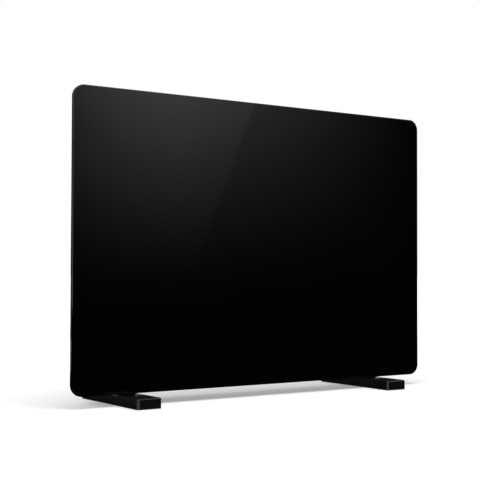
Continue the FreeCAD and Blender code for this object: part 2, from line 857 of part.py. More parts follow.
def thermostat_body():
    """Moulded body behind the fascia with a bore for the shaft."""
    half_width = thermostat_width / 2
    half_height = thermostat_height / 2
    shaft_depth = thermostat_depth / 2
    body = block(thermostat_back_x, fascia_back_x, control_y - half_width, control_y + half_width,
                 knob_z - half_height, knob_z + half_height)
    shaft_mouth = Vector(fascia_back_x, control_y, knob_z)
    screw_depth = fascia_plate + fascia_plug + shaft_depth
    tools = [bore(shaft_mouth, RIGHT * -1, shaft_radius + shaft_clearance, shaft_depth)]
    tools += [hole(seat, into, machine_screw_radius + thread_clearance, screw_depth)
              for seat, into in thermostat_screw_seats()]
    return body.cut(tools)


def shaft_profile(radius, flat, x0, x1):
    """A D-shaped bar on the knob's axis, its flat turned with the knob."""
    bar = rod(Vector(x0, control_y, knob_z), RIGHT, radius, x1 - x0)
    cutter = block(x0, x1, control_y - 2 * radius, control_y + 2 * radius,
                   knob_z + radius - flat, knob_z + 2 * radius)
    return bar.cut(cutter)


knob_base_x = fascia_front_x + knob_gap
knob_top_x = knob_base_x + knob_height
shaft_end_x = knob_top_x - knob_skirt
shaft_start_x = fascia_back_x - thermostat_depth / 2 + knob_gap


def thermostat_shaft():
    """Spindle, round in the thermostat and D-shaped in the knob."""
    start = Vector(shaft_start_x, control_y, knob_z)
    round_part = rod(start, RIGHT, shaft_radius, knob_base_x - shaft_start_x)
    flat_part = shaft_profile(shaft_radius, shaft_flat, knob_base_x, shaft_end_x)
    return round_part.fuse(flat_part).removeSplitter()


def fluted_ring(distance, radius):
    """The outline of the knob's grip at a distance from its base: a ridge and a flute in turn."""
    points = []
    for flute in range(knob_flutes):
        for share, reach in ((0.0, radius), (0.4, radius), (0.5, radius * (1 - knob_flute_share)),
                             (0.9, radius * (1 - knob_flute_share))):
            angle = 2 * math.pi * (flute + share) / knob_flutes
            points.append(Vector(knob_base_x + distance, control_y + reach * math.cos(angle),
                                 knob_z + reach * math.sin(angle)))
    return points


def thermostat_knob():
    """Knob with a round skirt, a fluted grip that tapers and a groove that marks the setting."""
    base = Vector(knob_base_x, control_y, knob_z)
    rim = knob_skirt - knob_bevel
    skirt = polygon_bar(base, RIGHT, knob_radius, rim, knob_sides).fuse(
        polygon_taper(base + RIGHT * rim, RIGHT, knob_radius, knob_radius - knob_bevel,
                      knob_bevel, knob_sides))
    shoulder = fluted_ring(knob_height - knob_bevel, knob_grip_radius - knob_taper)
    grip = between_rings(fluted_ring(knob_skirt, knob_grip_radius), shoulder)
    crown = between_rings(shoulder, fluted_ring(knob_height, knob_grip_radius - knob_taper - knob_bevel))
    socket = shaft_profile(shaft_radius + shaft_clearance, shaft_flat,
                           knob_base_x, shaft_end_x + shaft_clearance)
    groove = block(knob_top_x - knob_bevel, knob_top_x + 1, control_y - knob_bevel, control_y + knob_bevel,
                   knob_z + shaft_radius, knob_z + knob_radius)
    groove.rotate(base, RIGHT, -knob_rest_angle)
    return skirt.fuse([grip, crown]).removeSplitter().cut([socket, groove])


def switch_cavity_half_width():
    """Half the width of the well that the rocker moves in."""
    return rocker_width / 2 + rocker_clearance


def switch_body(z):
    """Switch housing with a bezel, a well for the rocker and blind holes for its pivot."""
    bezel = block(fascia_front_x, fascia_front_x + bezel_thickness,
                  control_y - bezel_width / 2, control_y + bezel_width / 2,
                  z - bezel_length / 2, z + bezel_length / 2)
    bezel = bezel.makeChamfer(bezel_bevel, edges_at_x(bezel, fascia_front_x + bezel_thickness))
    case = block(switch_back_x, fascia_front_x, control_y - switch_width / 2, control_y + switch_width / 2,
                 z - switch_length / 2, z + switch_length / 2)
    half_width = switch_cavity_half_width()
    half_length = rocker_reach + rocker_clearance
    well = block(pivot_x - rocker_reach - rocker_clearance, fascia_front_x + bezel_thickness + 1,
                 control_y - half_width, control_y + half_width, z - half_length, z + half_length)
    pin_reach = rocker_width / 2 + pivot_length + pivot_clearance
    pin_start = Vector(pivot_x, control_y - pin_reach, z)
    pin_hole = rod(pin_start, BACK, pivot_radius + pivot_clearance, 2 * pin_reach)
    return bezel.fuse(case).removeSplitter().cut([well, pin_hole])


def rocker(z):
    """Rocker with a dished top and round ends about its pivot, shown tipped to off."""
    end = math.sqrt(rocker_reach ** 2 - rocker_end_height ** 2)
    foot = math.sqrt(rocker_reach ** 2 - rocker_base_depth ** 2)
    front = control_y - rocker_width / 2

    def at(out, along):
        return Vector(pivot_x + out, front, z + along)

    outline = Part.Wire([
        Part.makeLine(at(rocker_dip_height, 0), at(rocker_end_height, end)),
        Part.Arc(at(rocker_end_height, end), at(0, rocker_reach), at(-rocker_base_depth, foot)).toShape(),
        Part.makeLine(at(-rocker_base_depth, foot), at(-rocker_base_depth, -foot)),
        Part.Arc(at(-rocker_base_depth, -foot), at(0, -rocker_reach), at(rocker_end_height, -end)).toShape(),
        Part.makeLine(at(rocker_end_height, -end), at(rocker_dip_height, 0)),
    ])
    paddle = Part.Face(outline).extrude(BACK * rocker_width)
    pin_reach = rocker_width / 2 + pivot_length
    pin = rod(Vector(pivot_x, control_y - pin_reach, z), BACK, pivot_radius, 2 * pin_reach)
    paddle = paddle.fuse(pin).removeSplitter()
    paddle.rotate(Vector(pivot_x, control_y, z), BACK, rocker_tilt)
    return paddle


def indicator_lens():
    """Lens with a bevelled head and a hollow barrel."""
    dome = lens_head_height / 2
    barrel_length = fascia_plate + fascia_plug + lens_tail
    seat = Vector(fascia_front_x, control_y, lens_z)
    head = polygon_bar(seat, RIGHT, lens_head_radius, dome, round_sides).fuse(
        polygon_taper(seat + RIGHT * dome, RIGHT, lens_head_radius, lens_head_radius - dome,
                      dome, round_sides))
    barrel = polygon_bar(seat, RIGHT * -1, lens_radius, barrel_length, round_sides)
    barrel = barrel.cut(polygon_bar(seat, RIGHT * -1, lens_radius - lens_wall, barrel_length, round_sides))
    return head.fuse(barrel).removeSplitter()


lamp_front_x = fascia_front_x
lamp_back_x = lamp_front_x - lamp_length


def indicator_lamp():
    """Neon bulb that stands in the lens against its end."""
    tip = lamp_radius / 2
    front = Vector(lamp_front_x, control_y, lens_z)
    neck = front - RIGHT * tip
    end = polygon_taper(neck, RIGHT, lamp_radius, lamp_radius - tip, tip)
    return end.fuse(polygon_bar(neck, RIGHT * -1, lamp_radius, lamp_length - tip)).removeSplitter()


# Flat terminals: each place is the middle of the blade's foot and the way it points

def thermostat_blades():
    """Blades behind the thermostat, the first towards the glass."""
    half = thermostat_terminal_spacing / 2
    return [(Vector(thermostat_back_x, control_y + side * half, knob_z), RIGHT * -1) for side in (-1, 1)]


def switch_blades(z):
    """Blades behind a switch, the upper one being its input."""
    half = switch_terminal_spacing / 2
    return [(Vector(switch_back_x, control_y, z + side * half), RIGHT * -1) for side in (1, -1)]


def cutout_blades():
    """Blades behind the cut-out, the lower one being its input."""
    half = cutout_terminal_spacing / 2
    return [(Vector(cutout_back_x, element_y, cutout_z + side * half), RIGHT) for side in (-1, 1)]


def terminal_blades():
    """All flat terminals of the devices in the wiring space."""
    places = thermostat_blades() + cutout_blades()
    places += switch_blades(switch_upper_z) + switch_blades(switch_lower_z)
    blades = []
    for foot, along in places:
        ends = sorted((foot.x, foot.x + along.x * blade_length))
        blades.append(block(ends[0], ends[1], foot.y - blade_width / 2, foot.y + blade_width / 2,
                            foot.z - blade_thickness / 2, foot.z + blade_thickness / 2))
    return Part.makeCompound(blades)


# Terminal block and earth

def terminal_way_x(way):
    """The middle of one way, counted from the left: neutral, earth, live."""
    return terminal_x + (way - (terminal_ways - 1) / 2) * terminal_way


def terminal_wells():
    """The mouths of the clamp-screw wells."""
    y = chassis_back_y + terminal_depth
    return [Vector(terminal_way_x(way), y, terminal_z + side * terminal_well_spacing / 2)
            for way in range(terminal_ways) for side in (-1, 1)]


def terminal_block():
    """Moulded block with a pair of clamp wells in each way and open cord entries below."""
    half_width = terminal_way * terminal_ways / 2
    half_height = terminal_height / 2
    body = block(terminal_x - half_width, terminal_x + half_width,
                 chassis_back_y, chassis_back_y + terminal_depth,
                 terminal_z - half_height, terminal_z + half_height)
    tools = [hole(mouth, BACK * -1, terminal_well_radius, terminal_well_depth) for mouth in terminal_wells()]
    entry_depth = (terminal_height - terminal_well_spacing) / 2
    for way in range(terminal_ways):
        entry = Vector(terminal_way_x(way), chassis_back_y + terminal_depth / 2, terminal_z - half_height)
        tools.append(hole(entry, UP, terminal_well_radius - screw_clearance, entry_depth))
    seat, into = terminal_fixing_seat()
    tools.append(hole(seat, into, machine_screw_radius + screw_clearance, terminal_depth + 1))
    return body.cut(tools)


def terminal_clamps():
    """Slotted clamp screws at the bottom of the wells."""
    height = terminal_well_depth - 2
    slot = 0.8
    clamps = []
    for mouth in terminal_wells():
        floor = mouth + BACK * -terminal_well_depth
        clamp = polygon_bar(floor, BACK, terminal_well_radius - screw_clearance, height)
        clamps.append(clamp.cut(block(floor.x - slot / 2, floor.x + slot / 2,
                                      floor.y + height - slot, floor.y + height + 1,
                                      floor.z - terminal_well_radius, floor.z + terminal_well_radius)))
    return Part.makeCompound(clamps)


earth_barrel_top_z = earth_z - earth_lug_length
earth_barrel_y = chassis_back_y + earth_barrel_radius


def earth_lug():
    """Ring lug with a crimp barrel, its tongue pointing down."""
    eye_radius = 2 * machine_screw_head_radius
    back = chassis_back_y + earth_lug_thickness
    eye_centre = Vector(terminal_x, chassis_back_y, earth_z)
    eye = polygon_bar(eye_centre, BACK, eye_radius, earth_lug_thickness)
    tongue = block(terminal_x - earth_barrel_radius, terminal_x + earth_barrel_radius, chassis_back_y, back,
                   earth_barrel_top_z - 1, earth_z)
    barrel = polygon_bar(Vector(terminal_x, earth_barrel_y, earth_barrel_top_z), UP * -1, earth_barrel_radius,
                         earth_barrel_length)
    seat, into = earth_screw_seat()
    return eye.fuse([tongue, barrel]).removeSplitter().cut(
        hole(seat, into, machine_screw_radius + screw_clearance, earth_lug_thickness + 1))


# Leads

def blade_end(place, offset):
    """The free end of a flat terminal, a little to one side of its middle."""
    foot, along = place
    return foot + along * blade_length + BACK * offset


def tube_end(centre_z, index, offset):
    """The free end of an element's tube, a little to one side of its middle."""
    point = element_tube_points(centre_z)[index]
    return Vector(tube_end_x, point.y + offset, point.z)


def terminal_top(way, offset):
    """A point on the top of the terminal block over one way."""
    return Vector(terminal_way_x(way) + offset, chassis_back_y + terminal_depth / 2, terminal_top_z)


def run(start, start_along, end, end_along, straight=lead_straight):
    """A lead that leaves along one direction and arrives against another."""
    return lead([start, start + start_along * straight, end + end_along * straight, end])


def leads():
    """Every lead of the wiring, by name."""
    left = RIGHT * -1
    near = -lead_pair_offset
    far = lead_pair_offset
    short = lead_straight / 2
    upper_in, upper_out = switch_blades(switch_upper_z)
    lower_in, lower_out = switch_blades(switch_lower_z)
    cutout_in, cutout_out = cutout_blades()
    thermostat_in, thermostat_out = thermostat_blades()
    lamp_live = Vector(lamp_back_x, control_y + far, lens_z)
    lamp_neutral = Vector(lamp_back_x, control_y + near, lens_z)
    earth_end = Vector(terminal_x, earth_barrel_y, earth_barrel_top_z - earth_barrel_length)
    return {
        "lead_live": run(terminal_top(2, 0), UP, blade_end(cutout_in, 0), RIGHT),
        "lead_cutout": run(blade_end(cutout_out, 0), RIGHT, blade_end(thermostat_in, 0), left),
        "lead_thermostat": run(blade_end(thermostat_out, 0), left, blade_end(upper_in, far), left),
        "lead_switch_link": run(blade_end(upper_in, near), left, blade_end(lower_in, near), left, short),
        "lead_element_upper": run(blade_end(upper_out, far), left, tube_end(element_high_z, 1, near), RIGHT),
        "lead_element_lower": run(blade_end(lower_out, near), left, tube_end(element_low_z, 1, near), RIGHT),
        "lead_neutral": run(terminal_top(0, near), UP, tube_end(element_low_z, 0, near), RIGHT),
        "lead_neutral_link": run(tube_end(element_low_z, 0, far), RIGHT,
                                 tube_end(element_high_z, 0, far), RIGHT, short),
        "lead_lamp_live": run(blade_end(lower_out, far), left, lamp_live, left * 3, short),
        "lead_lamp_neutral": run(lamp_neutral, left, terminal_top(0, far), UP),
        "lead_earth": run(terminal_top(1, 0), UP, earth_end, UP * -1, short),
    }


# Gland and inserts

def cord_gland():
    """Cable gland with a hexagon outside, a round cap and a threaded tail through the cover."""
    cap_end_y = cover_back_y + gland_hex_height + gland_cap_height
    axis = Vector(gland_x, cover_back_y, gland_z)
    spanner_flats = hexagon(axis, BACK, gland_hex, gland_hex_height)
    shoulder = axis + BACK * (gland_hex_height + gland_cap_height / 2)
    cap = polygon_bar(axis, BACK, gland_cap_radius, gland_hex_height + gland_cap_height / 2, round_sides)
    crown = polygon_taper(shoulder, BACK, gland_cap_radius, gland_cap_radius - gland_crown_bevel,
                          gland_cap_height / 2, round_sides)
    tail = polygon_bar(axis, BACK * -1, gland_thread_radius, cover_sheet + gland_tail, round_sides)
    length = gland_hex_height + gland_cap_height + cover_sheet + gland_tail
    cord_bore = bore(Vector(gland_x, cap_end_y, gland_z), BACK * -1, gland_bore_radius, length + 1)
    return spanner_flats.fuse([cap, crown, tail]).removeSplitter().cut(cord_bore)


def gland_nut():
    """Lock nut inside the cover."""
    face = Vector(gland_x, cover_inside_y, gland_z)
    nut = hexagon(face, BACK * -1, gland_hex, gland_nut_height)
    tail_radius = gland_thread_radius + gland_clearance
    return nut.cut(hole(face, BACK * -1, tail_radius, gland_nut_height + 1, round_sides))


def insert(seat, into, cutter, tap_radius):
    """Flanged threaded insert set in a sheet whose outer face is at seat; cutter makes its tapped hole."""
    flange = polygon_bar(seat, into * -1, insert_flange_radius, insert_flange)
    body = polygon_bar(seat, into, insert_radius, insert_length)
    tapped = cutter(seat - into * insert_flange, into, tap_radius, insert_flange + insert_length + 1)
    return flange.fuse(body).removeSplitter().cut(tapped)


def wall_inserts():
    """The four inserts for a wall bracket."""
    return Part.makeCompound([insert(seat, into, bore, insert_tap_radius)
                              for seat, into in wall_insert_seats()])


def foot_inserts():
    """The inserts over both feet."""
    points = foot_screw_points(-1) + foot_screw_points(1)
    return Part.makeCompound([insert(point, UP, hole, foot_screw_radius + thread_clearance)
                              for point in points])


# Feet

foot_screw_seat_z = cover_bottom_z - foot_screw_clamp


def pad_places(side):
    """The middles of one foot's pads, on the floor."""
    reach = foot_length / 2 - pad_end_distance
    return [Vector(side * foot_mid_x, end * reach, 0) for end in (-1, 1)]


def underside_pockets(mid_x):
    """Hollows under the bar, each split by a rib, between the pad seats and the screw towers."""
    half = foot_width / 2 - foot_wall
    top = foot_height - foot_wall
    seat_end = foot_length / 2 - 2 * pad_end_distance
    tower_front = pedestal_y - foot_screw_spacing / 2 - foot_access_radius - foot_wall
    tower_back = pedestal_y + foot_screw_spacing / 2 + foot_access_radius + foot_wall
    pockets = []
    for y0, y1 in ((-seat_end, tower_front), (tower_back, seat_end)):
        middle = (y0 + y1) / 2
        for start, end in ((y0, middle - foot_rib / 2), (middle + foot_rib / 2, y1)):
            pockets.append(block(mid_x - half, mid_x + half, start, end, 0, top))
    return pockets


def pedestal_outline(mid_x, grow, z):
    """The pedestal's outline with cut corners at one level."""
    half_width = pedestal_width / 2 + grow
    half_length = pedestal_length / 2 + grow
    short_width = half_width - pedestal_corner
    short_length = half_length - pedestal_corner
    quarter = [(half_width, -short_length), (half_width, short_length), (short_width, half_length),
               (-short_width, half_length)]
    return [Vector(mid_x + turn * u, pedestal_y + turn * v, z) for turn in (1, -1) for u, v in quarter]


def foot(side):
    """Moulded foot: a low bar with round corners and a tapered pedestal under the cover."""
    mid_x = side * foot_mid_x
    bar = floor_prism(mid_x - foot_width / 2, mid_x + foot_width / 2, toe_y, -toe_y,
                      foot_corner_radius, pad_proud, foot_height)
    bar = bar.makeChamfer(foot_edge_bevel, edges_at_z(bar, foot_height))
    root_z = foot_height - foot_edge_bevel
    pedestal = between_rings(pedestal_outline(mid_x, pedestal_draft, root_z),
                             pedestal_outline(mid_x, 0, cover_bottom_z))
    tools = underside_pockets(mid_x)
    for point in foot_screw_points(side):
        under = Vector(point.x, point.y, 0)
        tools.append(polygon_bar(under, UP, foot_access_radius, foot_screw_seat_z))
        tools.append(polygon_bar(under, UP, foot_screw_radius + screw_clearance, cover_bottom_z))
        tools.append(hole(point, UP * -1, insert_flange_radius + screw_clearance, insert_flange))
    tools += [polygon_bar(place, UP, pad_radius + pad_clearance, pad_thickness, round_sides)
              for place in pad_places(side)]
    return bar.fuse(pedestal).removeSplitter().cut(tools)


def foot_screws():
    """Screws up through the pedestals into the inserts."""
    length = foot_screw_clamp + insert_length
    seats = [Vector(point.x, point.y, foot_screw_seat_z)
             for point in foot_screw_points(-1) + foot_screw_points(1)]
    return Part.makeCompound([screw(seat, UP, foot_screw_radius, length,
                                    foot_screw_head_radius, foot_screw_head_height) for seat in seats])


def foot_pads():
    """Rubber discs let into the undersides."""
    return Part.makeCompound([polygon_bar(place, UP, pad_radius, pad_thickness, round_sides)
                              for place in pad_places(-1) + pad_places(1)])


# The whole heater, one entry for each node

pieces = {
    "glass_panel": glass_panel(),
    "bond_strips": bond_strips(),
    "chassis": chassis(),
    "rear_cover": rear_cover(),
    "cover_screws": cover_screws(),
    "heating_element_lower": heating_element(element_low_z),
    "heating_element_upper": heating_element(element_high_z),
    "element_bushes": element_bushes(),
    "element_bracket": element_bracket(),
    "partition_plate": partition_plate(),
    "chassis_rivets": chassis_rivets(),
    "heat_shield": heat_shield(),
    "shield_rivets": shield_rivets(),
    "overheat_cutout": overheat_cutout(),
    "cutout_screws": machine_screws(cutout_screw_seats(), cutout_plate + bracket_sheet + 2),
    "control_fascia": control_fascia(),
    "fascia_screws": machine_screws(fascia_screw_seats(), fascia_plate + cover_sheet + 3),
    "thermostat_body": thermostat_body(),
    "thermostat_screws": machine_screws(thermostat_screw_seats(), fascia_plate + fascia_plug + 3),
    "thermostat_shaft": thermostat_shaft(),
    "thermostat_knob": thermostat_knob(),
    "switch_body_upper": switch_body(switch_upper_z),
    "switch_body_lower": switch_body(switch_lower_z),
    "rocker_upper": rocker(switch_upper_z),
    "rocker_lower": rocker(switch_lower_z),
    "indicator_lens": indicator_lens(),
    "indicator_lamp": indicator_lamp(),
    "terminal_blades": terminal_blades(),
    "terminal_block": terminal_block(),
    "terminal_clamps": terminal_clamps(),
    "terminal_fixing_screw": machine_screws([terminal_fixing_seat()], terminal_depth + chassis_sheet),
    "earth_lug": earth_lug(),
    "earth_screw": machine_screws([earth_screw_seat()], earth_lug_thickness + chassis_sheet),
    "cord_gland": cord_gland(),
    "gland_nut": gland_nut(),
    "wall_inserts": wall_inserts(),
    "foot_inserts": foot_inserts(),
    "foot_left": foot(-1),
    "foot_right": foot(1),
    "foot_screws": foot_screws(),
    "foot_pads": foot_pads(),
}
pieces.update(leads())

os.makedirs("parts", exist_ok=True)
for name, shape in pieces.items():
    shape.exportStep("parts/%s.step" % name)
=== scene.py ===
import json
from functools import cache
from math import cos, pi, radians, sin, sqrt

import bmesh
import bpy
from bpy.props import FloatProperty, FloatVectorProperty, IntProperty, PointerProperty
from mathutils import Matrix, Vector


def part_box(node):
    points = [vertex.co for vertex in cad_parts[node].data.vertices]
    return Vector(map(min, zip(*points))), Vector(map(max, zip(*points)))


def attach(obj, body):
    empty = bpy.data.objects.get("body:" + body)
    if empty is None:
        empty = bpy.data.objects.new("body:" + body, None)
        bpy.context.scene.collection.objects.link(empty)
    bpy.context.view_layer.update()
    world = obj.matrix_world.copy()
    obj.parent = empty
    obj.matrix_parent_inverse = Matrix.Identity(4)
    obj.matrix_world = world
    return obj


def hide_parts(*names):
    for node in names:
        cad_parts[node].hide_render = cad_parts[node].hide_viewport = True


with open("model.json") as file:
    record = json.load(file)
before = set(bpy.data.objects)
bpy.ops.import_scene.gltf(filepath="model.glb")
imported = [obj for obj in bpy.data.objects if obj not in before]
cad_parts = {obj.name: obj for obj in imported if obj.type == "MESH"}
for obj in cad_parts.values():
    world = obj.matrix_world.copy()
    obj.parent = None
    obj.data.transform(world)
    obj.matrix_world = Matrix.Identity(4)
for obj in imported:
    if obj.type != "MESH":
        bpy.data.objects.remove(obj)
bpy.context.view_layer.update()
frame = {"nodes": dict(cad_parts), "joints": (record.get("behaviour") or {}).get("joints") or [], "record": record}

bl_info = {
    "name": "Glass Panel Heater",
    "version": (1, 0, 0),
    "blender": (4, 5, 0),
    "location": "View3D > Sidebar > Heater",
    "description": "Dresses the packed glass panel heater with finishes, fasteners, marks and a studio",
    "category": "Add Mesh",
}

MM = 0.001
SLOT_OF = {part["node"]: part["material_slot"] for part in frame["record"]["subparts"]}

# Bodies and groups of nodes
HEATER = "heater_body"
DIAL = "thermostat_dial"
ROCKERS = {"upper": "switch_rocker_upper", "lower": "switch_rocker_lower"}
FEET = ("foot_left", "foot_right")
LEADS = [name for name in frame["nodes"] if name.startswith("lead_")]

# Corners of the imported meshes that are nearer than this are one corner
WELD = 0.002 * MM
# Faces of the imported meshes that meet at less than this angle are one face
FLAT = radians(0.6)
# Thickness of printed marks
PRINT_LIFT = 0.04 * MM
# Edges of added shapes stay sharp above this angle, in degrees
CREASE = 40.0
# Turn of the dial from its first numeral to its last
DIAL_SWEEP = radians(270)
# Turns a mesh drawn in the XY plane to face along X with its top up
FACING_RIGHT = Matrix(((0, 0, 1), (1, 0, 0), (0, 1, 0))).to_4x4()
# Turns a level card upright
UPRIGHT = Matrix.Rotation(radians(90), 4, "X")
# Nearly all values of a noise lie between these
NOISE_SPAN = (0.3, 0.7)
# Name of the direction that is stored with each point of a repeat
FACING = "facing"
WHITE = (1.0, 1.0, 1.0, 1.0)


# Settings that a user would change

def length(name, description, default, low, high):
    """A setting in metres."""
    return FloatProperty(
        name=name, description=description, default=default, min=low, max=high,
        subtype="DISTANCE", unit="LENGTH")


def share(name, description, default, low, high):
    """A setting without a unit."""
    return FloatProperty(
        name=name, description=description, default=default, min=low, max=high, subtype="FACTOR")


def colour(name, description, default):
    """A base colour."""
    return FloatVectorProperty(
        name=name, description=description, size=3, default=default, min=0.0, max=1.0, subtype="COLOR")


def turning(name, description, degrees):
    """An angle, given in degrees."""
    return FloatProperty(
        name=name, description=description, default=radians(degrees), subtype="ANGLE", unit="ROTATION")


def power(name, description, default):
    """The power of a lamp in watts."""
    return FloatProperty(name=name, description=description, default=default, min=0.0, unit="POWER")


class HeaterSizes(bpy.types.PropertyGroup):
    """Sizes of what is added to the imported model."""

    glass_edge: length("Glass edge", "Radius of the ground edge of the glass", 0.0012, 0.0002, 0.002)
    glass_corner: length("Glass corner", "Radius of the corners of the glass", 0.016, 0.002, 0.05)
    sheet_edge: length(
        "Sheet edge", "Softening of the folded and pressed edges of the coated steel", 0.00018, 0.0, 0.001)
    moulded_edge: length("Moulded edge", "Softening of the edges of plastic mouldings", 0.0003, 0.0, 0.001)
    foot_edge: length("Foot edge", "Rounding of the edges of the feet", 0.00015, 0.0, 0.002)
    recess_width: share(
        "Cross width", "Width of the cross recess as a share of the screw head's radius", 0.3, 0.1, 0.6)
    gland_ribs: IntProperty(
        name="Gland ribs", description="Grip ribs round the cap of the cord gland", default=20, min=6, max=60)
    numeral_height: length("Numeral height", "Height of the numerals round the dial", 0.0021, 0.001, 0.005)
    scale_steps: IntProperty(
        name="Scale steps", description="Steps of the dial's scale", default=6, min=2, max=9)


class HeaterColours(bpy.types.PropertyGroup):
    """Base colours of the finishes."""

    glass: colour("Glass", "Black enamel behind the glass", (0.0011, 0.0011, 0.0012))
    coated_steel: colour("Coated steel", "Fine powder coat of the rear cover", (0.019, 0.019, 0.0205))
    foot_plastic: colour("Foot plastic", "Polished plastic of the feet", (0.0022, 0.0022, 0.0023))
    control_plastic: colour(
        "Control plastic", "Satin plastic of the fascia, switches and gland", (0.0085, 0.0085, 0.0088))
    print_ink: colour("Print", "Ink of the numerals and marks", (0.72, 0.72, 0.70))
    lens: colour("Lens", "Clear red plastic of the indicator", (0.55, 0.012, 0.008))


class StudioSettings(bpy.types.PropertyGroup):
    """Camera and light."""

    camera_place: FloatVectorProperty(
        name="Camera place", description="Where the camera stands", size=3,
        default=(-0.9169, -1.3011, 0.1772), subtype="TRANSLATION", unit="LENGTH")
    camera_heading: turning("Heading", "Turn of the camera to the right of straight back", 34.627)
    camera_pitch: turning("Pitch", "Upward tilt of the camera", 1.61)
    camera_roll: turning("Roll", "Roll of the camera", 0.1836)
    camera_lens: FloatProperty(
        name="Lens", description="Focal length for a 36 mm sensor", default=82.4, min=10.0, unit="CAMERA")
    ambient: share("Ambient", "Light from all round", 0.38, 0.0, 2.0)
    overhead_power: power("Overhead", "Power of the softbox overhead", 42.0)
    feet_power: power("Feet", "Power of the low softbox that lights only the feet", 9.0)
    floor_glow: share("Floor glow", "Glow that keeps the far floor white", 0.3, 0.0, 1.0)
    card_level: share("Card level", "Brightness of the graded card that the glass reflects", 1.18, 0.0, 4.0)


def sizes():
    return bpy.context.scene.heater_sizes


def colours():
    return bpy.context.scene.heater_colours


def studio():
    return bpy.context.scene.heater_studio


# Node helpers

def node(tree, kind, **settings):
    """Adds a node; settings name its properties, or its input sockets with a leading capital."""
    made = tree.nodes.new(kind)
    for key, value in settings.items():
        if hasattr(made, key):
            setattr(made, key, value)
        else:
            made.inputs[key.replace("_", " ")].default_value = value
    return made


def feed(tree, value, socket):
    """Links an input socket to another socket, or sets it to a number."""
    if isinstance(value, (int, float)):
        socket.default_value = value
    else:
        tree.links.new(value, socket)


def math_node(tree, operation, *values):
    """A math node fed by sockets or numbers; returns its value."""
    made = node(tree, "ShaderNodeMath", operation=operation)
    for socket, value in zip(made.inputs, values):
        feed(tree, value, socket)
    return made.outputs["Value"]


def product(tree, first, *others):
    """Multiplies sockets or numbers."""
    total = first
    for other in others:
        total = math_node(tree, "MULTIPLY", total, other)
    return total


def vector_of(tree, x, y, z):
    """Combines three sockets or numbers into a vector."""
    made = node(tree, "ShaderNodeCombineXYZ")
    for socket, value in zip(made.inputs, (x, y, z)):
        feed(tree, value, socket)
    return made.outputs["Vector"]


def parts_of(tree, vector):
    """The X, Y and Z sockets of a vector."""
    made = node(tree, "ShaderNodeSeparateXYZ")
    tree.links.new(vector, made.inputs["Vector"])
    return made.outputs["X"], made.outputs["Y"], made.outputs["Z"]


def object_place(tree):
    """The place on the object, in metres."""
    return node(tree, "ShaderNodeTexCoord").outputs["Object"]


def distance_out(tree):
    """The distance of a spot from the object's origin."""
    away = node(tree, "ShaderNodeVectorMath", operation="LENGTH")
    tree.links.new(object_place(tree), away.inputs[0])
    return away.outputs["Value"]


def ranged(tree, value, start, end, low=0.0, high=1.0):
    """Maps a value that goes from start to end to one from low to high, and keeps it between them."""
    made = node(tree, "ShaderNodeMapRange", From_Min=start, From_Max=end, To_Min=low, To_Max=high)
    tree.links.new(value, made.inputs["Value"])
    return made.outputs["Result"]


def faded(tree, value, start, end, bend):
    """A fade from 0 at start to 1 at end, bent by a power."""
    return math_node(tree, "POWER", ranged(tree, value, start, end), bend)


def shader(name):
    """A new material with only a principled shader; returns the material, its tree and the shader."""
    material = bpy.data.materials.new(name)
    material.use_nodes = True
    tree = material.node_tree
    return material, tree, tree.nodes["Principled BSDF"]


def noise(tree, scale, detail=3.0, stretch=(1.0, 1.0, 1.0)):
    """Noise on object coordinates, scale in cells for each metre; returns its factor socket."""
    mapping = node(tree, "ShaderNodeMapping", Scale=stretch)
    tree.links.new(object_place(tree), mapping.inputs["Vector"])
    texture = node(tree, "ShaderNodeTexNoise", Scale=scale, Detail=detail, Roughness=0.55)
    tree.links.new(mapping.outputs["Vector"], texture.inputs["Vector"])
    return texture.outputs["Fac"]


def set_tint(tree, bsdf, factor, base, change):
    """Varies the base colour lighter and darker by a share."""
    ramp = node(tree, "ShaderNodeValToRGB")
    for stop, position, gain in zip(ramp.color_ramp.elements, NOISE_SPAN, (1 - change, 1 + change)):
        stop.position = position
        stop.color = [part * gain for part in base] + [1.0]
    tree.links.new(factor, ramp.inputs["Fac"])
    tree.links.new(ramp.outputs["Color"], bsdf.inputs["Base Color"])


def set_roughness(tree, bsdf, factor, low, high):
    """Varies the roughness between two values."""
    tree.links.new(ranged(tree, factor, *NOISE_SPAN, low, high), bsdf.inputs["Roughness"])


def set_relief(tree, bsdf, height, strength, depth):
    """Bumps the surface by a height socket."""
    bump = node(tree, "ShaderNodeBump", Strength=strength, Distance=depth)
    tree.links.new(height, bump.inputs["Height"])
    tree.links.new(bump.outputs["Normal"], bsdf.inputs["Normal"])


# Finishes

def black_glass():
    """Polished glass with faint smears in its gloss and dull black enamel fired on its back."""
    material, tree, bsdf = shader("black_glass")
    smear = noise(tree, scale=9.0, detail=4.0)
    set_tint(tree, bsdf, smear, colours().glass, change=0.15)
    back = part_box("glass_panel")[1].y
    depth = parts_of(tree, object_place(tree))[1]
    enamel = ranged(tree, depth, back - 0.2 * MM, back - 0.1 * MM, low=0.0, high=0.55)
    polish = ranged(tree, smear, *NOISE_SPAN, low=0.012, high=0.03)
    tree.links.new(math_node(tree, "ADD", polish, enamel), bsdf.inputs["Roughness"])
    bsdf.inputs["IOR"].default_value = 1.5
    set_relief(tree, bsdf, noise(tree, scale=5.0, detail=0.0), strength=0.02, depth=0.1 * MM)
    return material


def powder_coat():
    """Black powder coat with a fine orange-peel grain."""
    material, tree, bsdf = shader("powder_coat")
    grain = noise(tree, scale=1500.0, detail=2.0)
    set_tint(tree, bsdf, noise(tree, scale=30.0), colours().coated_steel, change=0.12)
    set_roughness(tree, bsdf, grain, low=0.42, high=0.6)
    set_relief(tree, bsdf, grain, strength=0.35, depth=0.2 * MM)
    return material


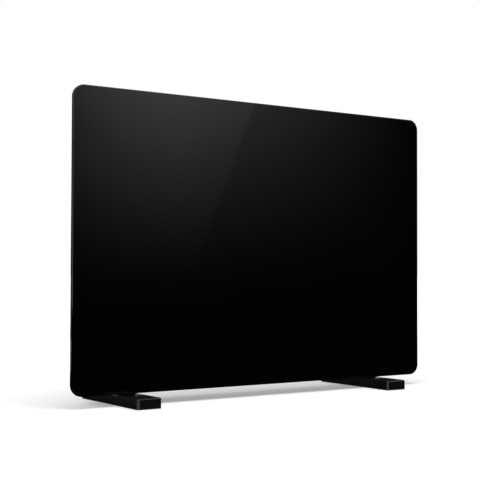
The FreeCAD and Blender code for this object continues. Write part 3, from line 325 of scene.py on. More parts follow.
def plated_metal(name, base, roughness):
    """Bright sheet metal, slightly cloudy, with the faint lines of rolling along X."""
    material, tree, bsdf = shader(name)
    lines = noise(tree, scale=900.0, detail=2.0, stretch=(0.04, 1.0, 1.0))
    set_tint(tree, bsdf, noise(tree, scale=60.0), base, change=0.08)
    set_roughness(tree, bsdf, lines, low=roughness - 0.08, high=roughness + 0.08)
    bsdf.inputs["Metallic"].default_value = 1.0
    set_relief(tree, bsdf, lines, strength=0.08, depth=0.05 * MM)
    return material


def moulded_plastic(name, base, roughness, grain_scale=1800.0, grain=0.2, gloss=0.5):
    """Moulded plastic with a spark-eroded grain; gloss is the strength of its reflection."""
    material, tree, bsdf = shader(name)
    bsdf.inputs["Specular IOR Level"].default_value = gloss
    texture = noise(tree, grain_scale, detail=2.0)
    set_tint(tree, bsdf, noise(tree, scale=45.0), base, change=0.1)
    set_roughness(tree, bsdf, texture, low=roughness - 0.05, high=roughness + 0.06)
    set_relief(tree, bsdf, texture, strength=grain, depth=0.1 * MM)
    return material


def lead_cover(name, base):
    """Smooth insulation of a lead."""
    return moulded_plastic(name, base, roughness=0.45, grain_scale=700.0, grain=0.1)


def blackened_screw():
    """Steel screw with a thin black oxide, rubbed a little."""
    material, tree, bsdf = shader("blackened_screw")
    wear = noise(tree, scale=700.0, detail=4.0)
    set_tint(tree, bsdf, wear, (0.03, 0.03, 0.031), change=0.4)
    set_roughness(tree, bsdf, wear, low=0.3, high=0.48)
    bsdf.inputs["Metallic"].default_value = 0.7
    set_relief(tree, bsdf, wear, strength=0.06, depth=0.05 * MM)
    return material


def ceramic_body():
    """Unglazed steatite with a chalky grain."""
    material, tree, bsdf = shader("ceramic_body")
    grain = noise(tree, scale=1200.0, detail=5.0)
    set_tint(tree, bsdf, noise(tree, scale=90.0), (0.78, 0.74, 0.66), change=0.06)
    set_roughness(tree, bsdf, grain, low=0.65, high=0.85)
    set_relief(tree, bsdf, grain, strength=0.25, depth=0.1 * MM)
    return material


def clear_lens():
    """Red clear plastic with faint mould lines."""
    material, tree, bsdf = shader("clear_lens")
    lines = noise(tree, scale=420.0, detail=1.0)
    set_tint(tree, bsdf, lines, colours().lens, change=0.12)
    set_roughness(tree, bsdf, lines, low=0.06, high=0.14)
    bsdf.inputs["Transmission Weight"].default_value = 0.35
    bsdf.inputs["IOR"].default_value = 1.49
    set_relief(tree, bsdf, lines, strength=0.04, depth=0.1 * MM)
    return material


def lamp_bulb():
    """Clear bulb glass with a warm cast."""
    material, tree, bsdf = shader("lamp_bulb")
    ripple = noise(tree, scale=300.0, detail=1.0)
    set_tint(tree, bsdf, ripple, (0.85, 0.6, 0.42), change=0.05)
    set_roughness(tree, bsdf, ripple, low=0.03, high=0.08)
    bsdf.inputs["Transmission Weight"].default_value = 0.6
    set_relief(tree, bsdf, ripple, strength=0.03, depth=0.1 * MM)
    return material


def printed_ink():
    """Pad-printed ink, slightly uneven."""
    material, tree, bsdf = shader("printed_ink")
    grain = noise(tree, scale=2500.0)
    set_tint(tree, bsdf, grain, colours().print_ink, change=0.07)
    set_roughness(tree, bsdf, grain, low=0.5, high=0.65)
    set_relief(tree, bsdf, grain, strength=0.05, depth=0.05 * MM)
    return material


FINISH_MAKERS = {
    "black_glass": black_glass,
    "silicone": lambda: moulded_plastic(
        "silicone", (0.03, 0.03, 0.03), roughness=0.55, grain_scale=600.0, grain=0.15),
    "black_steel": powder_coat,
    "zinc_steel": lambda: plated_metal("zinc_steel", (0.58, 0.59, 0.60), roughness=0.36),
    "black_screw": blackened_screw,
    "bright_aluminium": lambda: plated_metal("bright_aluminium", (0.78, 0.79, 0.80), roughness=0.26),
    "ceramic": ceramic_body,
    "black_plastic": lambda: moulded_plastic(
        "satin_plastic", colours().control_plastic, roughness=0.32, gloss=0.4),
    "polished_plastic": lambda: moulded_plastic(
        "polished_plastic", colours().foot_plastic, roughness=0.28, grain=0.05),
    "dial_plastic": lambda: moulded_plastic(
        "dial_plastic", (0.014, 0.014, 0.015), roughness=0.42, grain_scale=2200.0, grain=0.25),
    "rocker_plastic": lambda: moulded_plastic(
        "rocker_plastic", (0.008, 0.008, 0.008), roughness=0.2, grain_scale=900.0, grain=0.05),
    "bakelite": lambda: moulded_plastic(
        "bakelite", (0.07, 0.04, 0.028), roughness=0.4, grain_scale=500.0, grain=0.15),
    "brass": lambda: plated_metal("brass", (0.72, 0.53, 0.22), roughness=0.28),
    "red_lens": clear_lens,
    "lamp_glass": lamp_bulb,
    "white_plastic": lambda: moulded_plastic("white_plastic", (0.72, 0.72, 0.70), roughness=0.5),
    "lead_black": lambda: lead_cover("lead_black", (0.02, 0.02, 0.02)),
    "lead_blue": lambda: lead_cover("lead_blue", (0.03, 0.10, 0.36)),
    "lead_green": lambda: lead_cover("lead_green", (0.16, 0.34, 0.05)),
    "rubber": lambda: moulded_plastic(
        "pad_rubber", (0.018, 0.018, 0.018), roughness=0.8, grain_scale=1000.0, grain=0.4),
    "print": printed_ink,
}


@cache
def finish(slot):
    """The material of a finish, made the first time it is asked for."""
    return FINISH_MAKERS[slot]()


def dress(*names):
    """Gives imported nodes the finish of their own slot."""
    for name in names:
        materials = frame["nodes"][name].data.materials
        materials.clear()
        materials.append(finish(SLOT_OF[name]))


# Mesh helpers

def mesh_of(name, made):
    """Ends a bmesh as a new mesh."""
    mesh = bpy.data.meshes.new(name)
    made.to_mesh(mesh)
    made.free()
    return mesh


def shade(mesh, crease):
    """Shades a mesh smoothly, apart from edges sharper than an angle in degrees."""
    mesh.shade_smooth()
    mesh.set_sharp_from_angle(angle=radians(crease))


def turn_angles(steps):
    """The angles of equal steps round a full turn."""
    return [2 * pi * step / steps for step in range(steps)]


def bridge(made, rings):
    """Joins each ring of corners to the next one; returns the faces."""
    faces = []
    for first, second in zip(rings, rings[1:]):
        for k in range(len(first)):
            corners = dict.fromkeys((first[k - 1], first[k], second[k], second[k - 1]))
            if len(corners) > 2:
                faces.append(made.faces.new(tuple(corners)))
    return faces


def welded(name):
    """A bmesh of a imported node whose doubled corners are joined."""
    made = bmesh.new()
    made.from_mesh(frame["nodes"][name].data)
    bmesh.ops.remove_doubles(made, verts=made.verts, dist=WELD)
    return made


def solids_of(name):
    """The boxes of a node's separate solids."""
    made = welded(name)
    unseen = set(made.verts)
    boxes = []
    while unseen:
        group = [unseen.pop()]
        for vert in group:
            for edge in vert.link_edges:
                other = edge.other_vert(vert)
                if other in unseen:
                    unseen.remove(other)
                    group.append(other)
        low = Vector([min(v.co[axis] for v in group) for axis in range(3)])
        high = Vector([max(v.co[axis] for v in group) for axis in range(3)])
        boxes.append((low, high))
    made.free()
    return sorted(boxes, key=lambda box: tuple(round(value, 5) for value in box[0]))


def seats_on(name, carrier):
    """Finds where a node's solids stand out of a carrier's box.

    Each find is the seat on the box, the way out and the height above the seat."""
    least_height = 0.2 * MM
    outer_low, outer_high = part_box(carrier)
    found = []
    for low, high in solids_of(name):
        for axis in range(3):
            for sign, tip, wall in ((-1, low, outer_low), (1, high, outer_high)):
                height = sign * (tip[axis] - wall[axis])
                if height > least_height:
                    seat = (low + high) / 2
                    seat[axis] = wall[axis]
                    facing = Vector((0, 0, 0))
                    facing[axis] = sign
                    found.append((seat, facing, height))
    if not found:
        raise RuntimeError("nothing of %s stands out of %s" % (name, carrier))
    return found


# Piece helpers

def add_piece(name, mesh, slot, body, *stands_for):
    """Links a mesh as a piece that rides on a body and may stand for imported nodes."""
    piece = bpy.data.objects.new(name, mesh)
    bpy.context.scene.collection.objects.link(piece)
    if not mesh.materials:
        mesh.materials.append(finish(slot))
    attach(piece, body)
    if stands_for:
        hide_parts(*stands_for)
    return piece


def softened(name, body, edge, smooth=38.0, segments=2):
    """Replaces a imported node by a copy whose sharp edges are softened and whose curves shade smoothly."""
    made = welded(name)
    bmesh.ops.dissolve_limit(made, angle_limit=FLAT, verts=made.verts, edges=made.edges)
    mesh = mesh_of(name + "_finished", made)
    shade(mesh, smooth)
    piece = add_piece(name + "_finished", mesh, SLOT_OF[name], body, name)
    bevel = piece.modifiers.new("Softened edges", "BEVEL")
    bevel.width = edge
    bevel.segments = segments
    bevel.limit_method = "ANGLE"
    bevel.angle_limit = radians(smooth)
    bevel.use_clamp_overlap = True
    flats = piece.modifiers.new("Flat faces", "WEIGHTED_NORMAL")
    flats.keep_sharp = False
    return piece


# Geometry node trees that repeat a shape on points

def group_with(name, lengths):
    """A geometry node group with named lengths and a material; returns its tree and the lengths' sockets."""
    tree = bpy.data.node_groups.new(name, "GeometryNodeTree")
    tree.interface.new_socket("Geometry", in_out="INPUT", socket_type="NodeSocketGeometry")
    for label in lengths:
        tree.interface.new_socket(label, in_out="INPUT", socket_type="NodeSocketFloat")
    tree.interface.new_socket("Material", in_out="INPUT", socket_type="NodeSocketMaterial")
    tree.interface.new_socket("Geometry", in_out="OUTPUT", socket_type="NodeSocketGeometry")
    group_in = node(tree, "NodeGroupInput")
    return tree, group_in, [group_in.outputs[label] for label in lengths]


def cylinder(tree, radius, depth, sides, bands=1):
    """A closed cylinder along Z, centred on the origin."""
    made = node(tree, "GeometryNodeMeshCylinder", Vertices=sides, Side_Segments=bands)
    tree.links.new(radius, made.inputs["Radius"])
    tree.links.new(depth, made.inputs["Depth"])
    return made.outputs["Mesh"]


def raised(tree, geometry, height, part):
    """Moves geometry along Z by a part of a height."""
    made = node(tree, "GeometryNodeTransform")
    tree.links.new(geometry, made.inputs["Geometry"])
    tree.links.new(vector_of(tree, 0.0, 0.0, product(tree, height, part)), made.inputs["Translation"])
    return made.outputs["Geometry"]


def cut(tree, base, *tools):
    """Cuts tools out of a base."""
    made = node(tree, "GeometryNodeMeshBoolean", operation="DIFFERENCE", solver="EXACT")
    tree.links.new(base, made.inputs["Mesh 1"])
    for tool in tools:
        tree.links.new(tool, made.inputs["Mesh 2"])
    return made.outputs["Mesh"]


def end_tree(tree, group_in, shape):
    """Sets a shape on every point, its Z axis along the point's facing, and ends the tree."""
    facing = node(tree, "GeometryNodeInputNamedAttribute", data_type="FLOAT_VECTOR", Name=FACING)
    turn = node(tree, "FunctionNodeAlignRotationToVector", axis="Z")
    tree.links.new(facing.outputs["Attribute"], turn.inputs["Vector"])
    placed = node(tree, "GeometryNodeInstanceOnPoints")
    tree.links.new(group_in.outputs["Geometry"], placed.inputs["Points"])
    tree.links.new(shape, placed.inputs["Instance"])
    tree.links.new(turn.outputs["Rotation"], placed.inputs["Rotation"])
    real = node(tree, "GeometryNodeRealizeInstances")
    tree.links.new(placed.outputs["Instances"], real.inputs["Geometry"])
    coat = node(tree, "GeometryNodeSetMaterial")
    tree.links.new(real.outputs["Geometry"], coat.inputs["Geometry"])
    tree.links.new(group_in.outputs["Material"], coat.inputs["Material"])
    group_out = node(tree, "NodeGroupOutput")
    tree.links.new(coat.outputs["Geometry"], group_out.inputs["Geometry"])
    return tree


@cache
def screw_tree():
    """Domed screws with a cross recess, one on each seat."""
    tree, group_in, (radius, height, width, shank_radius, shank_length) = group_with(
        "Screws on seats", ("Head Radius", "Head Height", "Recess Width", "Shank Radius", "Shank Length"))
    dome_loss = 0.28
    recess_reach = 1.1

    head = cylinder(tree, radius, height, sides=28, bands=6)
    place = node(tree, "GeometryNodeInputPosition")
    x, y, z = parts_of(tree, place.outputs["Position"])
    rise = math_node(tree, "ADD", math_node(tree, "DIVIDE", z, height), 0.5)
    loss = product(tree, math_node(tree, "POWER", rise, 3.0), dome_loss)
    narrowing = math_node(tree, "SUBTRACT", 1.0, loss)
    domed = node(tree, "GeometryNodeSetPosition")
    tree.links.new(head, domed.inputs["Geometry"])
    rounded = vector_of(tree, product(tree, x, narrowing), product(tree, y, narrowing), z)
    tree.links.new(rounded, domed.inputs["Position"])

    bars = []
    reach = product(tree, radius, recess_reach)
    for size in (vector_of(tree, reach, width, height), vector_of(tree, width, reach, height)):
        bar = node(tree, "GeometryNodeMeshCube")
        tree.links.new(size, bar.inputs["Size"])
        bars.append(raised(tree, bar.outputs["Mesh"], height, part=0.5))
    crossed = cut(tree, domed.outputs["Geometry"], *bars)

    shank = cylinder(tree, shank_radius, shank_length, sides=16)
    whole = node(tree, "GeometryNodeJoinGeometry")
    tree.links.new(raised(tree, crossed, height, part=0.5), whole.inputs["Geometry"])
    tree.links.new(raised(tree, shank, shank_length, part=-0.5), whole.inputs["Geometry"])
    return end_tree(tree, group_in, whole.outputs["Geometry"])


@cache
def insert_tree():
    """Threaded inserts: a flange on a barrel with a bore through both, one on each seat."""
    tree, group_in, (radius, height, bore_radius, depth) = group_with(
        "Inserts on seats", ("Flange Radius", "Flange Height", "Bore Radius", "Depth"))
    barrel_share = 0.69
    bore_excess = 3.0

    flange = cylinder(tree, radius, height, sides=36)
    barrel = cylinder(tree, product(tree, radius, barrel_share), depth, sides=24)
    joined = node(tree, "GeometryNodeMeshBoolean", operation="UNION", solver="EXACT")
    tree.links.new(raised(tree, flange, height, part=0.5), joined.inputs["Mesh 2"])
    tree.links.new(raised(tree, barrel, depth, part=-0.5), joined.inputs["Mesh 2"])
    drill = cylinder(tree, bore_radius, product(tree, depth, bore_excess), sides=28)
    return end_tree(tree, group_in, cut(tree, joined.outputs["Mesh"], drill))


@cache
def rib_tree():
    """Grip ribs round a cap whose axis is Y, one on each point of a ring."""
    tree, group_in, (rib_length, width, height) = group_with(
        "Ribs on a ring", ("Rib Length", "Rib Width", "Rib Height"))
    rib = cylinder(tree, product(tree, width, 0.5), rib_length, sides=8)
    flattened = node(tree, "GeometryNodeTransform", Rotation=(radians(90), 0.0, 0.0))
    tree.links.new(rib, flattened.inputs["Geometry"])
    flatness = math_node(tree, "DIVIDE", height, width)
    tree.links.new(vector_of(tree, 1.0, 1.0, flatness), flattened.inputs["Scale"])
    return end_tree(tree, group_in, flattened.outputs["Geometry"])


@cache
def dot_tree():
    """Flat printed dots, one on each point of a scale."""
    tree, group_in, (radius, thickness) = group_with("Dots on a scale", ("Dot Radius", "Dot Thickness"))
    return end_tree(tree, group_in, cylinder(tree, radius, thickness, sides=20))


def repeated(name, tree, points, values, slot, body, *stands_for):
    """Runs a tree on points, given as (place, facing), and keeps its result as one plain mesh."""
    cloud = bpy.data.meshes.new(name + "_points")
    cloud.from_pydata([place for place, facing in points], [], [])
    stored = cloud.attributes.new(FACING, "FLOAT_VECTOR", "POINT")
    for item, (place, facing) in zip(stored.data, points):
        item.vector = facing
    carrier = bpy.data.objects.new(name + "_points", cloud)
    bpy.context.scene.collection.objects.link(carrier)
    modifier = carrier.modifiers.new("Repeat", "NODES")
    modifier.node_group = tree
    values = dict(values, Material=finish(slot))
    for socket in tree.interface.items_tree:
        if socket.in_out == "INPUT" and socket.name in values:
            modifier[socket.identifier] = values[socket.name]
    evaluated = carrier.evaluated_get(bpy.context.evaluated_depsgraph_get())
    mesh = bpy.data.meshes.new_from_object(evaluated)
    carrier.modifiers.remove(modifier)
    bpy.data.objects.remove(carrier)
    if not mesh.polygons:
        raise RuntimeError("the tree for %s gave no faces" % name)
    shade(mesh, CREASE)
    return add_piece(name, mesh, slot, body, *stands_for)


# Glass front

def rounded_ring(half_width, low, high, radius, inset, y, steps):
    """Points round an upright rectangle with round corners, moved in by inset."""
    points = []
    reach = radius - inset
    corners = ((half_width - radius, high - radius, 0), (radius - half_width, high - radius, 90),
               (radius - half_width, low + radius, 180), (half_width - radius, low + radius, 270))
    for x, z, start in corners:
        for step in range(steps + 1):
            angle = radians(start + 90 * step / steps)
            points.append(Vector((x + reach * cos(angle), y, z + reach * sin(angle))))
    return points


class HEATER_OT_glass_front(bpy.types.Operator):
    """Build the glass front with its round corners and ground edge"""

    bl_idname = "heater.glass_front"
    bl_label = "Glass front"

    def execute(self, context):
        low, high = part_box("glass_panel")
        half_width = (high.x - low.x) / 2
        edge = sizes().glass_edge
        corner = sizes().glass_corner
        edge_steps = 6
        corner_steps = 20
        profile = []
        for step in range(edge_steps + 1):
            angle = radians(90 * step / edge_steps)
            profile.append((edge * (1 - sin(angle)), low.y + edge * (1 - cos(angle))))
        profile += [(inset, low.y + high.y - y) for inset, y in reversed(profile)]
        made = bmesh.new()
        rings = []
        for inset, y in profile:
            ring = rounded_ring(half_width, low.z, high.z, corner, inset, y, corner_steps)
            rings.append([made.verts.new(point) for point in ring])
        bridge(made, rings)
        flats = [made.faces.new(rings[0]), made.faces.new(list(reversed(rings[-1])))]
        bmesh.ops.recalc_face_normals(made, faces=made.faces)
        for face in made.faces:
            face.smooth = True
        for face in flats:
            for side in face.edges:
                side.smooth = False
        add_piece("glass_front", mesh_of("glass_front", made), "black_glass", HEATER, "glass_panel")
        return {"FINISHED"}


# Rear cover with its fasteners and gland

class HEATER_OT_rear_cover(bpy.types.Operator):
    """Finish the louvred rear cover in powder coat"""

    bl_idname = "heater.rear_cover"
    bl_label = "Rear cover"

    def execute(self, context):
        softened("rear_cover", HEATER, sizes().sheet_edge)
        return {"FINISHED"}


def add_screws(name, carrier):
    """Stands detailed screws in the place of a node's plain ones."""
    shank_share = 0.45
    found = seats_on(name, carrier)
    facing, head_height = found[0][1:]
    low, high = solids_of(name)[0]
    size = high - low
    along = [axis for axis in range(3) if facing[axis]][0]
    radius = min(size[axis] for axis in range(3) if axis != along) / 2
    values = {
        "Head Radius": radius,
        "Head Height": head_height,
        "Recess Width": radius * sizes().recess_width,
        "Shank Radius": radius * shank_share,
        "Shank Length": size[along] - head_height,
    }
    points = [(seat, way) for seat, way, _ in found]
    repeated(name + "_detailed", screw_tree(), points, values, SLOT_OF[name], HEATER, name)


class HEATER_OT_screws(bpy.types.Operator):
    """Set cross-head screws in the cover and the fascia"""

    bl_idname = "heater.screws"
    bl_label = "Screws"

    def execute(self, context):
        add_screws("cover_screws", "rear_cover")
        add_screws("fascia_screws", "control_fascia")
        dress("foot_screws", "thermostat_screws", "cutout_screws", "terminal_fixing_screw", "earth_screw")
        return {"FINISHED"}


class HEATER_OT_inserts(bpy.types.Operator):
    """Set threaded inserts in the back for the wall bracket"""

    bl_idname = "heater.inserts"
    bl_label = "Inserts"

    def execute(self, context):
        mount = [m for m in frame["record"]["mounts"] if m["name"] == "wall_bracket"][0]
        flange_height = 1.0 * MM
        seat_y = mount["pos_m"][1] - flange_height
        boxes = solids_of("wall_inserts")
        points = []
        for low, high in boxes:
            seat = (low + high) / 2
            seat.y = seat_y
            points.append((seat, Vector((0, 1, 0))))
        size = boxes[0][1] - boxes[0][0]
        values = {
            "Flange Radius": size.x / 2,
            "Flange Height": flange_height,
            "Bore Radius": mount["dims"]["hole_r_mm"] * MM,
            "Depth": size.y - flange_height,
        }
        repeated("wall_inserts_detailed", insert_tree(), points, values, "zinc_steel", HEATER, "wall_inserts")
        dress("foot_inserts", "chassis_rivets", "shield_rivets")
        return {"FINISHED"}


class HEATER_OT_cord_gland(bpy.types.Operator):
    """Finish the cord gland and put grip ribs round its cap"""

    bl_idname = "heater.cord_gland"
    bl_label = "Cord gland"

    def execute(self, context):
        softened("cord_gland", HEATER, sizes().moulded_edge)
        cap_radius = 8.0 * MM
        rib_setback = 4.5 * MM
        rib_seat = 0.975 * cap_radius
        values = {"Rib Length": 2.8 * MM, "Rib Width": 1.1 * MM, "Rib Height": 0.9 * MM}
        low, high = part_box("cord_gland")
        middle = (low + high) / 2
        middle.y = high.y - rib_setback
        points = []
        for angle in turn_angles(sizes().gland_ribs):
            facing = Vector((cos(angle), 0, sin(angle)))
            points.append((middle + facing * rib_seat, facing))
        repeated("cord_gland_ribs", rib_tree(), points, values, "black_plastic", HEATER)
        dress("gland_nut")
        return {"FINISHED"}


# Controls

def flat_text(words, height):
    """A thin mesh of words in the XY plane, centred on the origin."""
    figure_share = 0.7
    curve = bpy.data.curves.new("words", "FONT")
    curve.body = words
    curve.size = height / figure_share
    curve.align_x = "CENTER"
    curve.align_y = "CENTER"
    curve.resolution_u = 6
    curve.extrude = PRINT_LIFT / 2
    holder = bpy.data.objects.new("words", curve)
    bpy.context.scene.collection.objects.link(holder)
    evaluated = holder.evaluated_get(bpy.context.evaluated_depsgraph_get())
    mesh = bpy.data.meshes.new_from_object(evaluated)
    bpy.data.objects.remove(holder)
    return mesh


def on_scale(centre, part, radius):
    """The place at a part of the dial's sweep, at a radius from its centre."""
    angle = DIAL_SWEEP * (part - 0.5)
    return centre + Vector((0, sin(angle), cos(angle))) * radius


class HEATER_OT_fascia(bpy.types.Operator):
    """Finish the control fascia and print the dial's scale on it"""

    bl_idname = "heater.fascia"
    bl_label = "Control fascia"

    def execute(self, context):
        softened("control_fascia", HEATER, sizes().moulded_edge)
        low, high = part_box("thermostat_knob")
        knob_radius = (high.z - low.z) / 2
        dot_ring = knob_radius + 0.7 * MM
        numeral_ring = knob_radius + 2.35 * MM
        centre = (low + high) / 2
        centre.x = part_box("control_fascia")[1].x + PRINT_LIFT / 2
        steps = sizes().scale_steps

        dots = []
        for step in range(2 * steps + 1):
            dots.append((on_scale(centre, step / (2 * steps), dot_ring), Vector((1, 0, 0))))
        values = {"Dot Radius": 0.22 * MM, "Dot Thickness": PRINT_LIFT}
        repeated("dial_dots", dot_tree(), dots, values, "print", HEATER)

        joined = bmesh.new()
        for step in range(steps + 1):
            numeral = flat_text(str(step), sizes().numeral_height)
            spot = on_scale(centre, step / steps, numeral_ring)
            numeral.transform(Matrix.Translation(spot) @ FACING_RIGHT)
            joined.from_mesh(numeral)
            bpy.data.meshes.remove(numeral)
        add_piece("dial_numerals", mesh_of("dial_numerals", joined), "print", HEATER)
        return {"FINISHED"}


class HEATER_OT_dial(bpy.types.Operator):
    """Finish the thermostat's knob and shaft"""

    bl_idname = "heater.dial"
    bl_label = "Thermostat dial"

    def execute(self, context):
        softened("thermostat_knob", DIAL, sizes().moulded_edge / 2, smooth=30.0)
        dress("thermostat_shaft", "thermostat_body")
        return {"FINISHED"}


def stroke_mark(made):
    """Adds a printed stroke in the XY plane; returns its corners."""
    corners = bmesh.ops.create_cube(made, size=1.0)["verts"]
    bmesh.ops.scale(made, vec=(0.45 * MM, 2.2 * MM, PRINT_LIFT), verts=corners)
    return corners


def ring_mark(made):
    """Adds a printed ring in the XY plane; returns its corners."""
    outer = 1.15 * MM
    inner = 0.75 * MM
    lift = PRINT_LIFT / 2
    angles = turn_angles(steps=28)
    rings = []
    for radius, z in ((inner, -lift), (outer, -lift), (outer, lift), (inner, lift)):
        rings.append([made.verts.new((radius * cos(a), radius * sin(a), z)) for a in angles])
    bmesh.ops.recalc_face_normals(made, faces=bridge(made, rings + rings[:1]))
    return [corner for ring in rings for corner in ring]


class HEATER_OT_switches(bpy.types.Operator):
    """Finish the two rocker switches and print their on and off marks"""

    bl_idname = "heater.switches"
    bl_label = "Rocker switches"

    def execute(self, context):
        # A rocker's face falls from its two ends to a dip over the pivot, and at rest it leans by the tilt
        dip = 1.5 * MM
        end_height = 3.6 * MM
        end_reach = 7.2 * MM
        tilt = radians(8)
        mark_share = 0.58
        end = sqrt(end_reach ** 2 - end_height ** 2)
        slope = (end_height - dip) / end
        along = mark_share * end
        out = dip + slope * along + PRINT_LIFT
        for side, body in ROCKERS.items():
            softened("switch_body_" + side, HEATER, sizes().moulded_edge)
            softened("rocker_" + side, body, sizes().moulded_edge)
            marks = bmesh.new()
            for sign, add_mark in ((1, stroke_mark), (-1, ring_mark)):
                corners = add_mark(marks)
                spot = Matrix.Translation((out, 0, sign * along))
                lean = Matrix.Rotation(sign * slope, 4, "Y")
                bmesh.ops.transform(marks, matrix=spot @ lean @ FACING_RIGHT, verts=corners)
            joint = [j for j in frame["joints"] if j["child"] == body][0]
            at_rest = Matrix.Translation(joint["pos_m"]) @ Matrix.Rotation(tilt, 4, "Y")
            bmesh.ops.transform(marks, matrix=at_rest, verts=marks.verts)
            name = "rocker_marks_" + side
            add_piece(name, mesh_of(name, marks), "print", body)
        return {"FINISHED"}


def lathed(name, outline, centre, steps):
    """A solid turned about a line along X through a centre; outline is a loop of (x, radius)."""
    least_radius = 0.001 * MM
    made = bmesh.new()
    rings = []
    for x, radius in outline:
        if radius < least_radius:
            rings.append([made.verts.new((x, centre.y, centre.z))] * steps)
        else:
            ring = [(x, centre.y + radius * cos(a), centre.z + radius * sin(a)) for a in turn_angles(steps)]
            rings.append([made.verts.new(point) for point in ring])
    bmesh.ops.recalc_face_normals(made, faces=bridge(made, rings + rings[:1]))
    mesh = mesh_of(name, made)
    shade(mesh, CREASE)
    return mesh


class HEATER_OT_indicator(bpy.types.Operator):
    """Finish the indicator's lens and lamp"""

    bl_idname = "heater.indicator"
    bl_label = "Indicator"

    def execute(self, context):
        lamp_gap = 0.3 * MM
        barrel_wall = 0.9 * MM
        rim_share = 0.4
        dome_steps = 8
        low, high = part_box("indicator_lens")
        centre = (low + high) / 2
        face_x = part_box("control_fascia")[1].x
        head_radius = (high.z - low.z) / 2
        head_height = high.x - face_x
        bore_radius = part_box("indicator_lamp")[1].z - centre.z + lamp_gap
        barrel_radius = bore_radius + barrel_wall
        rim = rim_share * head_height
        outline = [(face_x, bore_radius), (low.x, bore_radius), (low.x, barrel_radius),
                   (face_x, barrel_radius), (face_x, head_radius)]
        for step in range(dome_steps + 1):
            angle = radians(90 * step / dome_steps)
            outline.append((face_x + rim + (head_height - rim) * sin(angle), head_radius * cos(angle)))
        outline.append((face_x, 0.0))
        mesh = lathed("indicator_lens_domed", outline, centre, steps=40)
        add_piece("indicator_lens_domed", mesh, "red_lens", HEATER, "indicator_lens")
        dress("indicator_lamp")
        return {"FINISHED"}


# Feet and what is inside

class HEATER_OT_feet(bpy.types.Operator):
    """Finish the two feet and their rubber pads"""

    bl_idname = "heater.feet"
    bl_label = "Feet"

    def execute(self, context):
        for name in FEET:
            piece = softened(name, HEATER, sizes().foot_edge, segments=3)
            piece.data.materials[0] = finish("polished_plastic")
        dress("foot_pads")
        return {"FINISHED"}


class HEATER_OT_inner_parts(bpy.types.Operator):
    """Finish the chassis, the heating elements and their sheet metal"""

    bl_idname = "heater.inner_parts"
    bl_label = "Inner parts"

    def execute(self, context):
        dress("bond_strips", "chassis", "heating_element_lower", "heating_element_upper", "element_bushes",
              "element_bracket", "partition_plate", "heat_shield", "overheat_cutout")
        return {"FINISHED"}


class HEATER_OT_wiring(bpy.types.Operator):
    """Finish the terminals and the leads"""

    bl_idname = "heater.wiring"
    bl_label = "Wiring"

    def execute(self, context):
        dress("terminal_blades", "terminal_block", "terminal_clamps", "earth_lug", *LEADS)
        return {"FINISHED"}


# Studio

def stage_material(name):
    """A material without a shader yet; returns it, its tree and the socket that takes the shader."""
    material = bpy.data.materials.new(name)
    material.use_nodes = True
    tree = material.node_tree
    tree.nodes.clear()
    return material, tree, node(tree, "ShaderNodeOutputMaterial").inputs["Surface"]


def glow_only(name):
    """A material that only glows, at first not at all; returns it, its tree and the strength socket."""
    material, tree, surface = stage_material(name)
    glow = node(tree, "ShaderNodeEmission", Color=WHITE, Strength=0.0)
    tree.links.new(glow.outputs["Emission"], surface)
    return material, tree, glow.inputs["Strength"]


def seen_rays(tree):
    """1 for camera, glossy and transmission rays, otherwise 0."""
    path = node(tree, "ShaderNodeLightPath")
    total = math_node(tree, "ADD", path.outputs["Is Camera Ray"], path.outputs["Is Glossy Ray"])
    total = math_node(tree, "ADD", total, path.outputs["Is Transmission Ray"])
    return math_node(tree, "MINIMUM", total, 1.0)


def floor_finish():
    """Pale matt floor that reads white where nothing shades it and keeps the shadow."""
    material, tree, surface = stage_material("studio_floor")
    matt = node(tree, "ShaderNodeBsdfDiffuse", Color=(0.8, 0.8, 0.8, 1.0))
    glow = node(tree, "ShaderNodeEmission", Color=WHITE)
    level = ranged(tree, distance_out(tree), start=0.5, end=2.5, low=studio().floor_glow, high=1.0)
    tree.links.new(product(tree, seen_rays(tree), level), glow.inputs["Strength"])
    both = node(tree, "ShaderNodeAddShader")
    tree.links.new(matt.outputs["BSDF"], both.inputs[0])
    tree.links.new(glow.outputs["Emission"], both.inputs[1])
    tree.links.new(both.outputs["Shader"], surface)
    return material


def card_finish(glass_y, card_y):
    """A card graded so that the glass shows a soft light at its upper left, cut by a slanting edge.

    The grading is written in the places of the glass where the camera sees each spot of the card."""
    material, tree, strength = glow_only("studio_card")
    stand = studio().camera_place
    growth = (2 * glass_y - stand[1] - card_y) / (glass_y - stand[1])
    x, _, z = parts_of(tree, object_place(tree))
    glass_x = math_node(tree, "ADD", math_node(tree, "DIVIDE", x, growth), stand[0] * (1 - 1 / growth))
    glass_z = math_node(tree, "ADD", math_node(tree, "DIVIDE", z, growth), stand[2] * (1 - 1 / growth))

    lean = 0.43
    edge_gain = 0.33
    rise = faded(tree, glass_z, start=0.12, end=0.41, bend=2.0)
    fall_right = faded(tree, glass_x, start=0.32, end=-0.36, bend=1.5)
    fall_left = faded(tree, glass_x, start=-0.34, end=-0.14, bend=0.7)
    slant = math_node(tree, "SUBTRACT", glass_x, product(tree, glass_z, lean))
    lift = ranged(tree, slant, start=-0.192, end=-0.197, low=1.0, high=1.0 + edge_gain)
    tree.links.new(product(tree, rise, fall_right, fall_left, lift, studio().card_level), strength)
    return material


def flag_finish():
    """A floor flag: black near the heater, fading to white further out."""
    material, tree, strength = glow_only("studio_flag")
    tree.links.new(ranged(tree, distance_out(tree), start=2.6, end=3.4), strength)
    return material


